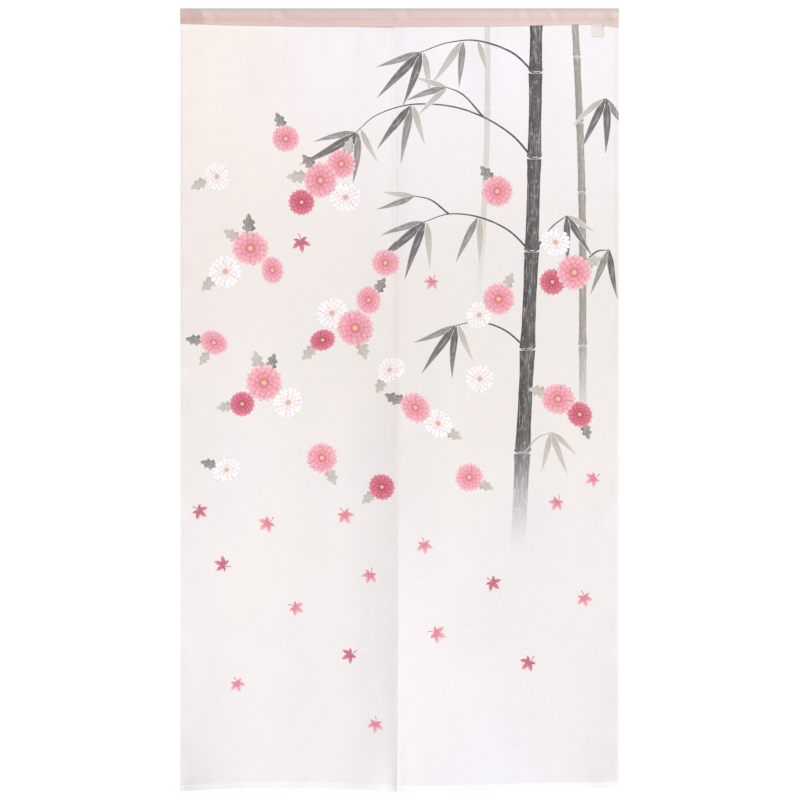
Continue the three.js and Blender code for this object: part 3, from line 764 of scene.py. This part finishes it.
def grid_sheet(name, mid, thick, material, colour, uv_split=.6, flip=False, place=None):
    """A closed thin sheet on a grid of points mid[i, j]; its first face is on the side of -normal."""
    ni, nj = mid.shape[:2]
    nrm = unit(np.cross(np.gradient(mid, axis=0), np.gradient(mid, axis=1)))
    if flip:
        nrm = -nrm
    A = (mid - nrm * thick / 2).reshape(-1, 3)
    B = (mid + nrm * thick / 2).reshape(-1, 3)
    n = ni * nj
    at = np.arange(n).reshape(ni, nj)
    quad = np.stack([at[:-1, :-1], at[1:, :-1], at[1:, 1:], at[:-1, 1:]], -1).reshape(-1, 4)
    front, back = quad[:, ::-1], quad + n
    if flip:
        front, back = quad, quad[:, ::-1] + n
    rims = []
    for row, way in ((at[:, 0], 1), (at[:, -1], -1), (at[0, :], -1), (at[-1, :], 1)):
        a, b = row[:-1], row[1:]
        q = np.stack([b + n, a + n, a, b], 1)
        rims.append(q if (way == 1) != flip else q[:, ::-1])
    rim = np.concatenate(rims)
    ob = new_object(name, np.concatenate([A, B]), np.concatenate([front, back, rim]), material)
    me = ob.data
    rgba = np.concatenate([colour.reshape(-1, 3), np.ones((n, 1))], 1)
    put_attr(me, "cloth", "FLOAT_COLOR", "POINT", np.concatenate([rgba, rgba]))
    p = place.reshape(-1, 3) * MM
    put_attr(me, "flat", "FLOAT_VECTOR", "POINT", np.concatenate([p, p]))
    si, sj = np.meshgrid(np.linspace(0, 1, ni), np.linspace(0, 1, nj), indexing="ij")
    uva = np.stack([.01 + .98 * si, .02 + (uv_split - .03) * sj], -1).reshape(-1, 2)
    uvb = np.stack([.01 + .98 * si, uv_split + .01 + (.95 - uv_split) * sj], -1).reshape(-1, 2)
    uvr = np.zeros((len(rim), 4, 2))
    start = 0
    for k, r in enumerate(rims):
        m = len(r)
        t = np.linspace(0, 1, m + 1)
        lane = .964 + .009 * k
        s = np.stack([t[1:], t[:-1], t[:-1], t[1:]], 1)
        w = np.broadcast_to(np.array([.006, .006, 0, 0]), (m, 4))
        if (r[0][0] >= n) is np.False_:
            s, w = s[:, ::-1], w[:, ::-1]
        uvr[start:start + m] = np.stack([.01 + .98 * s, lane + w], -1)
        start += m
    put_uv(me, np.concatenate([uva[front], uvb[back - n], uvr]).reshape(-1, 2))
    # the cut edges keep their own facing, so that the faces shade evenly right up to them
    nrm, verts = nrm.reshape(-1, 3), np.concatenate([A, B])
    p0, p1, p2, p3 = (verts[rim[:, k]] for k in range(4))
    out = np.repeat(unit(np.cross(p2 - p0, p3 - p1))[:, None], 4, axis=1)
    me.normals_split_custom_set(np.concatenate([-nrm[front], nrm[back - n], out]).reshape(-1, 3).tolist())
    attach(ob, "root")
    return ob


# ------------------------------------------------------------------ heading
def bezier(a, b, c, d, n):
    t = np.linspace(0, 1, n)[:, None]
    a, b, c, d = (np.array(p, float) for p in (a, b, c, d))
    return a * (1 - t) ** 3 + 3 * b * t * (1 - t) ** 2 + 3 * c * t ** 2 * (1 - t) + d * t ** 3


def heading(material):
    arc = np.vstack([bezier((-LIP, LIP_TOP), (-LIP, LIP_TOP + 3.5), (-POCKET_HALF, POCKET_MID_Z - 8), (-POCKET_HALF, POCKET_MID_Z), 90),
                     bezier((-POCKET_HALF, POCKET_MID_Z), (-POCKET_HALF, POCKET_MID_Z + 7.5), (-POCKET_HALF * .55, POCKET_TOP), (0, POCKET_TOP), 90)[1:]])
    s = np.concatenate([[0], np.cumsum(np.linalg.norm(np.diff(arc, axis=0), axis=1))])
    t = np.linspace(0, s[-1], 27)
    front = np.stack([np.interp(t, s, arc[:, 0]), np.interp(t, s, arc[:, 1])], 1)
    lipf = np.array([1, .9, .75, .6, .45, .3, .15])
    y0 = np.concatenate([np.full(7, -LIP), front[:, 0], -front[-2::-1, 0], np.full(7, LIP)])
    z0 = np.concatenate([np.full(7, LIP_TOP), front[:, 1], front[-2::-1, 1], np.full(7, LIP_TOP)])
    low = np.concatenate([lipf, np.zeros(2 * len(front) - 1), lipf[::-1]])
    xs = spread(-WIDTH / 2, WIDTH / 2, 2.6)
    X, Y0 = np.meshgrid(xs, y0, indexing="ij")
    Z0, LOW = np.broadcast_to(z0, X.shape), np.broadcast_to(low, X.shape)
    edge, full = rounded(HEADING_EDGE, X), eased(POCKET_FULLNESS, X)
    is_front = np.arange(len(y0)) < len(y0) // 2
    sign = np.where(is_front, -1.0, 1.0)

    def lap_bell(a, b):
        return np.minimum(smooth(X, a - LAP_RAMP, a), 1 - smooth(X, b, b + LAP_RAMP))

    ride = LAP_SHIFT * np.where(is_front, lap_bell(-LAP / 2, LAP_FLAT), lap_bell(-LAP_FLAT, LAP / 2))
    swell = ramp(np.abs(Y0), LIP, POCKET_HALF)
    Y = np.sign(Y0) * (np.abs(Y0) * lerp(1, full, swell) + np.where(Z0 < POCKET_MID_Z, ride * (1 - swell), 0))
    Z = np.where(LOW > 0, lerp(LIP_TOP, edge, LOW), Z0)
    # wrinkles, the groove of the seam and its puckers
    down = np.clip((-Z) / 34, 0, 1)
    off = np.zeros(X.shape)
    for table, here in ((BAND_FRONT, is_front), (BAND_BACK, ~is_front)):
        for x, lean, half, deep in table:
            off = off + np.where(here, deep * bell(X - x - lean * (down - .1), half) * smooth(down, .04, .3) * (1 - .55 * smooth(down, .72, .95)), 0)
    seam_z = edge + 6.8
    off = off - .24 * np.exp(-((Z - seam_z) / 1.1) ** 2)
    off = off + (ripple(X, (13, .05, 0), (21, .09, 1.1), (34, .12, 2.3))) * np.exp(-((Z - seam_z) / 7) ** 2)
    off = off + .18 * np.exp(-((Z - edge - 1.2) / 1.6) ** 2)
    room = np.where(LOW > 0, .25, 1.0)
    off = np.where(off < 0, off * np.where(np.abs(Y0) < LIP + .6, .7, 1), off) * lerp(room, 1, smooth(np.abs(Y0), LIP, LIP + 3))
    Y = Y + sign * off
    mid = np.stack([X, Y, Z], -1)
    # colour: pink-beige, lighter to the right, deeper where the ends are turned in, with painted shade greyer along the
    # top fold
    base = lerp(lin(227, 200, 195), lin(233, 211, 207), smooth(X, -200, 330)[..., None])
    end_left = 1 - smooth(X - 10 * down, -386, -378)
    end_right = smooth(X, 387, 393) * smooth(-Z, 17, 21)
    base = base * (1 - end_left[..., None] * np.array([.13, .15, .16]) - end_right[..., None] * np.array([.06, .02, .045]))
    # painted light and shade of one broad diagonal fold left of the middle: lighter below its line, darker above
    lean = (X + 262) / 78 + Z / 27
    painted_fold_shading = smooth(X, -266, -252) * (1 - smooth(X, -196, -150))
    base = base * (1 + painted_fold_shading * (.035 * np.exp(-((lean + .22) / .16) ** 2) - .035 * np.exp(-((lean - .25) / .2) ** 2)))[..., None]
    # painted shade: greyer along the top fold and darkest in a thin line at its crest
    top_fold_shade = np.exp(-((Z - POCKET_TOP) / 7.5) ** 2)
    base = lerp(base, lin(208, 197, 187), .78 * top_fold_shade[..., None])
    base = lerp(base, lin(188, 181, 172), .85 * np.exp(-((Z - POCKET_TOP) / 1.1) ** 2)[..., None])
    arcs = np.concatenate([np.zeros((len(xs), 1)), np.cumsum(np.linalg.norm(np.diff(mid, axis=1), axis=2), axis=1)], axis=1)
    place = np.stack([X, arcs, np.full(X.shape, 0.0)], -1)
    ob = grid_sheet("heading_cloth", mid, STRIP_T, material, base, .62, flip=True, place=place)
    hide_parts("heading_sleeve")
    return ob, mid, (xs, y0, seam_z)


# ------------------------------------------------------------------ label
def label(material):
    """A folded ribbon: down at the back, round the fold and up at the front, its ends sewn to the heading's edge."""
    across_n = 13
    path = [(k, 0.0) for k in np.linspace(0, 1, 36)]
    path += [(1.0, a) for a in np.linspace(0, np.pi, 9)[1:-1]]
    path += [(k, np.pi) for k in np.linspace(1, 0, 36)]
    xs = np.linspace(-.5, .5, across_n)
    mid = np.zeros((across_n, len(path), 3))
    for j, (k, a) in enumerate(path):
        x = LABEL_X + xs * LABEL_W * (.97 + .05 * k) + .9 * k * k
        z = lerp(LABEL_TOP, LABEL_BOTTOM + .5, k)
        # it rests on the heading's edge above and hangs back to the panel below, its sides sooner than its middle
        panel_y = panel_face("right", x + WIDTH / 2 - (WIDTH - PANEL_W), np.full(across_n, PANEL_TOP - z), False)[:, 1].min()
        rest = lerp(-LIP - STRIP_T / 2 - .2, panel_y - .12, smooth((k - .225) / lerp(.34, .14, (2 * xs) ** 2), 0, 1))
        bow = .22 * (1 - (2 * xs) ** 2) * k - .08 * xs * k + .2 * max(k - .6, 0) ** 2
        r = lerp(.25, .32, k) / 2
        mid[:, j, 0] = x
        mid[:, j, 1] = rest - .1 - bow - r + r * math.cos(a)
        mid[:, j, 2] = z - (r * math.sin(a) if 0 < a < np.pi else 0)
    col = np.broadcast_to(lin(241, 232, 229), (across_n, len(path), 3)).copy()
    ks = np.array([k for k, _ in path])
    thin = .9 * (1 - smooth(ks, .1, .42))
    col = lerp(col, lin(227, 206, 201), thin[None, :, None])
    # painted shade along the bottom fold; the side edges are a little darker
    col *= (1 - .10 * np.exp(-((ks - 1) / .035) ** 2))[None, :, None]
    col *= (1 - .05 * np.exp(-((np.abs(xs) - .5) / .05) ** 2))[:, None, None]
    arcs = np.concatenate([np.zeros((across_n, 1)), np.cumsum(np.linalg.norm(np.diff(mid, axis=1), axis=2), axis=1)], axis=1)
    place = np.stack([mid[..., 0], arcs, np.zeros(arcs.shape)], -1)
    ob = grid_sheet("label_ribbon", mid, .2, material, col, .62, flip=False, place=place)
    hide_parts("label")
    return ob


# ------------------------------------------------------------------ stitches
def stitches(name, runs, material, thick=.4, sides=5):
    """Many short thread stitches as one mesh. Each run is (points, outward normals) along a seam."""
    verts, faces = [], []
    ring = np.linspace(0, 2 * np.pi, sides, endpoint=False)
    for pts, nrm, long, gap in runs:
        s = np.concatenate([[0], np.cumsum(np.linalg.norm(np.diff(pts, axis=0), axis=1))])
        n = int((s[-1] - gap) / (long + gap))
        starts = gap + (long + gap) * np.arange(n)
        f = np.array([0, .12, .5, .88, 1.0])
        at = starts[:, None] + f[None, :] * long
        p = np.stack([np.interp(at, s, pts[:, k]) for k in range(3)], -1)
        o = unit(np.stack([np.interp(at, s, nrm[:, k]) for k in range(3)], -1))
        t = unit(p[:, -1:] - p[:, :1])
        b = np.cross(t, o)
        r = thick / 2 * np.array([.35, .85, 1.0, .85, .35])
        lift = np.array([-.16, .08, .2, .08, -.16]) * thick / .4
        c = p + o * lift[None, :, None]
        v = (c[:, :, None] + b[:, :, None] * (r[None, :, None] * np.cos(ring))[..., None] + o[:, :, None] * (r[None, :, None] * np.sin(ring))[..., None])
        base = sum(len(x) for x in verts)
        k = len(f)
        verts.append(v.reshape(-1, 3))
        one = []
        for i in range(k - 1):
            for j in range(sides):
                a0, a1 = i * sides + j, i * sides + (j + 1) % sides
                one.append((a0, a0 + sides, a1 + sides, a1))
        caps = [tuple(range(sides)), tuple((k - 1) * sides + j for j in range(sides))[::-1]]
        for m in range(n):
            q = base + m * k * sides
            faces += [tuple(q + i for i in f4) for f4 in one] + [tuple(q + i for i in c) for c in caps]
    ob = new_object(name, np.concatenate(verts), faces, material)
    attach(ob, "root")
    return ob


def panel_runs(side, long=2.7, gap=1.0):
    W, L, h = PANEL_W, PANEL_L, SIDE_HEM
    vs = np.arange(17, L - 1.5, 1.5)
    us = np.arange(3, W - 2.9, 1.5)
    out = []
    for u0 in (h - .6, W - h + .6):
        out.append((np.full(len(vs), u0), vs))
    out.append((us, np.full(len(us), L - BOTTOM_HEM + 1)))
    runs = []
    for u, v in out:
        n = panel_normal(side, u, v)
        for back in (False, True):
            p = panel_face(side, u, v, back)
            runs.append((p, n if back else -n, long, gap))
    return runs


# ------------------------------------------------------------------ materials
class Nodes:
    def __init__(self, name):
        self.mat = bpy.data.materials.new(name)
        self.mat.use_nodes = True
        self.nt = self.mat.node_tree
        self.nt.nodes.clear()

    def add(self, kind, **props):
        n = self.nt.nodes.new(kind)
        for k, v in props.items():
            setattr(n, k, v)
        return n

    def feed(self, socket, value):
        if isinstance(value, bpy.types.NodeSocket):
            self.nt.links.new(value, socket)
        else:
            socket.default_value = value

    def math(self, op, a, b=None, c=None):
        n = self.add("ShaderNodeMath", operation=op)
        for i, v in enumerate((a, b, c)):
            if v is not None:
                self.feed(n.inputs[i], v)
        return n.outputs[0]

    def vmul(self, a, by):
        n = self.add("ShaderNodeVectorMath", operation="MULTIPLY")
        self.feed(n.inputs[0], a)
        n.inputs[1].default_value = by
        return n.outputs[0]

    def scale(self, a, by):
        n = self.add("ShaderNodeVectorMath", operation="SCALE")
        self.feed(n.inputs[0], a)
        self.feed(n.inputs["Scale"], by)
        return n.outputs[0]

    def noise(self, vec, scale=1.0, detail=2.0, rough=.5):
        n = self.add("ShaderNodeTexNoise")
        self.feed(n.inputs["Vector"], vec)
        n.inputs["Scale"].default_value = scale
        n.inputs["Detail"].default_value = detail
        n.inputs["Roughness"].default_value = rough
        return n.outputs[0]

    def remap(self, v, a, b, c, d, smooth_step=False):
        n = self.add("ShaderNodeMapRange")
        if smooth_step:
            n.interpolation_type = "SMOOTHSTEP"
        self.feed(n.inputs["Value"], v)
        for k, x in zip(("From Min", "From Max", "To Min", "To Max"), (a, b, c, d)):
            n.inputs[k].default_value = x
        return n.outputs[0]

    def mix(self, f, a, b):
        n = self.add("ShaderNodeMix", data_type="RGBA")
        self.feed(n.inputs[0], f)
        self.feed(n.inputs[6], a)
        self.feed(n.inputs[7], b)
        return n.outputs[2]

    def attr(self, name):
        n = self.add("ShaderNodeAttribute", attribute_name=name)
        return n

    def weave(self, flat, pitch_u, pitch_v):
        """Plain weave: threads over and under, as a height."""
        n = self.add("ShaderNodeSeparateXYZ")
        self.feed(n.inputs[0], flat)
        su = self.math("SINE", self.math("MULTIPLY", n.outputs[0], math.pi / pitch_u))
        sv = self.math("SINE", self.math("MULTIPLY", n.outputs[1], math.pi / pitch_v))
        return self.math("MULTIPLY", su, sv)

    def bump(self, height, distance, strength=1.0):
        n = self.add("ShaderNodeBump")
        self.feed(n.inputs["Height"], height)
        n.inputs["Distance"].default_value = distance
        n.inputs["Strength"].default_value = strength
        return n.outputs[0]

    def finish(self, colour, rough, normal, sheen=0.0, sheen_rough=.5, spec=.25):
        p = self.add("ShaderNodeBsdfPrincipled")
        self.feed(p.inputs["Base Color"], colour)
        self.feed(p.inputs["Roughness"], rough)
        self.feed(p.inputs["Normal"], normal)
        p.inputs["Sheen Weight"].default_value = sheen
        p.inputs["Sheen Roughness"].default_value = sheen_rough
        p.inputs["Specular IOR Level"].default_value = spec
        o = self.add("ShaderNodeOutputMaterial")
        self.nt.links.new(p.outputs[0], o.inputs[0])
        return self.mat


def panel_material():
    m = Nodes("slub_voile")
    flat = m.attr("flat").outputs["Vector"]
    cloth = m.attr("cloth").outputs["Color"]
    printed = m.attr("print")
    brush = m.attr("brush").outputs["Vector"]
    weft = m.noise(m.vmul(flat, (52, 760, 7)), 1, 3, .6)
    warp = m.noise(m.vmul(flat, (820, 46, 5)), 1, 3, .6)
    cloud = m.noise(m.vmul(flat, (9, 7, 3)), 1, 3, .55)
    weft_s = m.remap(weft, .5, .74, 0, 1, True)
    warp_s = m.remap(warp, .53, .76, 0, 1, True)
    tone = m.math("ADD", m.math("MULTIPLY_ADD", weft, .10, .915), m.math("MULTIPLY_ADD", warp, .07, -.035))
    tone = m.math("ADD", tone, m.math("MULTIPLY_ADD", cloud, .05, -.0))
    tone = m.math("ADD", tone, m.math("MULTIPLY_ADD", weft_s, .03, -.012))
    weave = m.weave(flat, .00062, .00068)
    tone = m.math("MULTIPLY_ADD", weave, .018, tone)
    drift = m.noise(m.vmul(flat, (5.2, 4.3, 1)), 1, 2, .5)
    tint = m.mix(m.remap(drift, .36, .64, 0, 1, True), (1.003, .999, .992, 1), (.997, 1.0, 1.006, 1))
    hued = m.add("ShaderNodeVectorMath", operation="MULTIPLY")
    m.feed(hued.inputs[0], cloth)
    m.feed(hued.inputs[1], tint)
    base = m.scale(hued.outputs[0], tone)
    # brushed ink: dry streaks along each stroke and paler flecks
    streak = m.noise(m.vmul(brush, (34, 420, 1)), 1, 4, .65)
    fleck = m.noise(m.vmul(flat, (150, 110, 1)), 1, 4, .62)
    sep = m.add("ShaderNodeSeparateXYZ")
    m.feed(sep.inputs[0], brush)
    dry = m.math("MULTIPLY", sep.outputs[2], m.math("ADD", m.remap(streak, .5, .66, 0, .75, True), m.remap(fleck, .55, .68, 0, .55, True)))
    cover = m.math("MULTIPLY", printed.outputs["Alpha"], m.math("SUBTRACT", 1.0, dry))
    cover = m.math("MULTIPLY", cover, m.math("MULTIPLY_ADD", weft_s, -.07, 1.0))
    colour = m.mix(cover, base, m.scale(printed.outputs["Color"], m.math("MULTIPLY_ADD", tone, .6, .4)))
    height = m.math("ADD", m.math("MULTIPLY", weave, .22), m.math("ADD", m.math("MULTIPLY", weft_s, .75), m.math("MULTIPLY", warp_s, .6)))
    rough = m.remap(weft, .3, .7, .95, .82)
    return m.finish(colour, rough, m.bump(height, .00018, .55), sheen=.12, sheen_rough=.45, spec=.2)


def heading_material():
    m = Nodes("plain_weave_pink")
    flat = m.attr("flat").outputs["Vector"]
    cloth = m.attr("cloth").outputs["Color"]
    weft = m.noise(m.vmul(flat, (70, 900, 3)), 1, 3, .6)
    warp = m.noise(m.vmul(flat, (1000, 80, 3)), 1, 3, .6)
    cloud = m.noise(m.vmul(flat, (24, 40, 3)), 1, 3, .55)
    weave = m.weave(flat, .0005, .00055)
    tone = m.math("ADD", m.math("MULTIPLY_ADD", weft, .10, .90), m.math("MULTIPLY_ADD", warp, .08, -.04))
    tone = m.math("ADD", tone, m.math("MULTIPLY_ADD", cloud, .10, -.0))
    tone = m.math("MULTIPLY_ADD", weave, .03, tone)
    height = m.math("ADD", m.math("MULTIPLY", weave, .4), m.math("ADD", m.math("MULTIPLY", weft, .6), m.math("MULTIPLY", warp, .4)))
    rough = m.remap(weft, .3, .7, .96, .84)
    return m.finish(m.scale(cloth, tone), rough, m.bump(height, .00015, .6), sheen=.15, sheen_rough=.45, spec=.2)


def ribbon_material():
    m = Nodes("satin_ribbon")
    flat = m.attr("flat").outputs["Vector"]
    cloth = m.attr("cloth").outputs["Color"]
    ribs = m.noise(m.vmul(flat, (60, 3600, 1)), 1, 2, .5)
    threads = m.noise(m.vmul(flat, (2600, 90, 1)), 1, 2, .5)
    tone = m.math("ADD", m.math("MULTIPLY_ADD", ribs, .08, .93), m.math("MULTIPLY_ADD", threads, .06, -.01))
    rough = m.remap(threads, .3, .7, .42, .58)
    height = m.math("ADD", ribs, m.math("MULTIPLY", threads, .6))
    return m.finish(m.scale(cloth, tone), rough, m.bump(height, .00008, .5), sheen=.05, spec=.45)


def thread_material(name, rgb):
    m = Nodes(name)
    co = m.add("ShaderNodeTexCoord").outputs["Object"]
    ply = m.noise(m.vmul(co, (2600, 2600, 2600)), 1, 2, .5)
    lot = m.noise(m.vmul(co, (60, 60, 60)), 1, 2, .5)
    tone = m.math("ADD", m.math("MULTIPLY_ADD", ply, .18, .86), m.math("MULTIPLY_ADD", lot, .1, -.02))
    n = m.add("ShaderNodeVectorMath", operation="SCALE")
    n.inputs[0].default_value = tuple(rgb)
    m.feed(n.inputs["Scale"], tone)
    return m.finish(n.outputs[0], m.remap(ply, .3, .7, .7, .5), m.bump(ply, .0001, .5), sheen=.1, spec=.3)


def floor_material():
    m = Nodes("pale_floor")
    co = m.add("ShaderNodeTexCoord").outputs["Object"]
    n = m.noise(m.vmul(co, (3, 3, 3)), 1, 4, .6)
    tone = m.remap(n, .3, .7, .95, .975)
    c = m.add("ShaderNodeCombineXYZ")
    for i in range(3):
        m.feed(c.inputs[i], tone)
    return m.finish(c.outputs[0], m.remap(n, .3, .7, .7, .8), m.bump(n, .0005, .2), spec=.2)


# ------------------------------------------------------------------ build
voile, strip_mat, satin = panel_material(), heading_material(), ribbon_material()
white_thread, pink_thread = thread_material("thread_white", lin(250, 247, 247)), thread_material("thread_pink", lin(224, 194, 188))

left, right = panel("left", voile), panel("right", voile)
band, band_mid, (band_xs, band_y0, band_seam) = heading(strip_mat)
tag = label(satin)

sewing = {side: stitches("stitches_" + side, panel_runs(side), white_thread) for side in ("left", "right")}

# the heading's seam, front and back
rows = []
nrm = -unit(np.cross(np.gradient(band_mid, axis=0), np.gradient(band_mid, axis=1)))
half = band_mid.shape[1] // 2
for cols, sgn in ((range(0, half), -1), (range(band_mid.shape[1] - 1, half, -1), -1)):
    cols = list(cols)
    p, o = [], []
    for i in range(2, len(band_xs) - 2):
        z = band_mid[i, cols, 2]
        want = band_seam[i, 0]
        j = int(np.clip(np.searchsorted(z, want), 1, len(cols) - 1))
        t = (want - z[j - 1]) / max(z[j] - z[j - 1], 1e-6)
        a, b = band_mid[i, cols[j - 1]], band_mid[i, cols[j]]
        n = unit(lerp(nrm[i, cols[j - 1]], nrm[i, cols[j]], t))
        p.append(lerp(a, b, t) + sgn * n * (STRIP_T / 2 - .02))
        o.append(sgn * n)
    rows.append((np.array(p), np.array(o), 2.6, 1.0))
sewing["band"] = stitches("stitches_heading", rows, pink_thread)

# ------------------------------------------------------------------ floor, light, camera
bpy.ops.mesh.primitive_plane_add(size=1, location=(0, -.35, -1.78))
floor = bpy.context.object
floor.name = "floor"
floor.scale = (5.0, 3.6, 1)
floor.data.materials.append(floor_material())

scene = bpy.context.scene
world = bpy.data.worlds.new("studio")
scene.world = world
world.use_nodes = True
wt = world.node_tree
wt.nodes.clear()
seen, fill = wt.nodes.new("ShaderNodeBackground"), wt.nodes.new("ShaderNodeBackground")
seen.inputs["Color"].default_value = (1, 1, 1, 1)
seen.inputs["Strength"].default_value = 1.05
fill.inputs["Color"].default_value = (1, .985, .975, 1)
fill.inputs["Strength"].default_value = .52
path, both, end = wt.nodes.new("ShaderNodeLightPath"), wt.nodes.new("ShaderNodeMixShader"), wt.nodes.new("ShaderNodeOutputWorld")
wt.links.new(path.outputs["Is Camera Ray"], both.inputs[0])
wt.links.new(fill.outputs[0], both.inputs[1])
wt.links.new(seen.outputs[0], both.inputs[2])
wt.links.new(both.outputs[0], end.inputs[0])


def area_light(name, place, aim, size, watts, rgb):
    data = bpy.data.lights.new(name, "AREA")
    data.shape = "RECTANGLE"
    data.size, data.size_y = size
    data.energy = watts
    data.color = rgb
    ob = bpy.data.objects.new(name, data)
    ob.location = place
    ob.rotation_euler = (Vector(aim) - Vector(place)).to_track_quat("-Z", "Y").to_euler()
    scene.collection.objects.link(ob)


key = bpy.data.objects.new("key", bpy.data.lights.new("key", "SUN"))
key.data.energy = 2.05
key.data.angle = math.radians(24)
key.data.color = (1, .992, .985)
key.rotation_euler = Vector((6.1, 6.3, -1.6)).to_track_quat("-Z", "Y").to_euler()
scene.collection.objects.link(key)
area_light("back", (3.4, 5.2, .9), (0, 0, -.75), (2.6, 2.6), 190, (1, 1, 1))

SPAN = 800 * 1.9157 * MM
FAR = 6.0
cam = bpy.data.objects.new("camera", bpy.data.cameras.new("camera"))
cam.data.sensor_width = 36
cam.data.lens = 36 * FAR / SPAN
cam.data.clip_end = 60
cam.location = (.00096, -FAR, -.7504)
cam.rotation_euler = (math.pi / 2, 0, 0)
scene.collection.objects.link(cam)
scene.camera = cam
scene.view_settings.view_transform = "Standard"
scene.view_settings.look = "None"
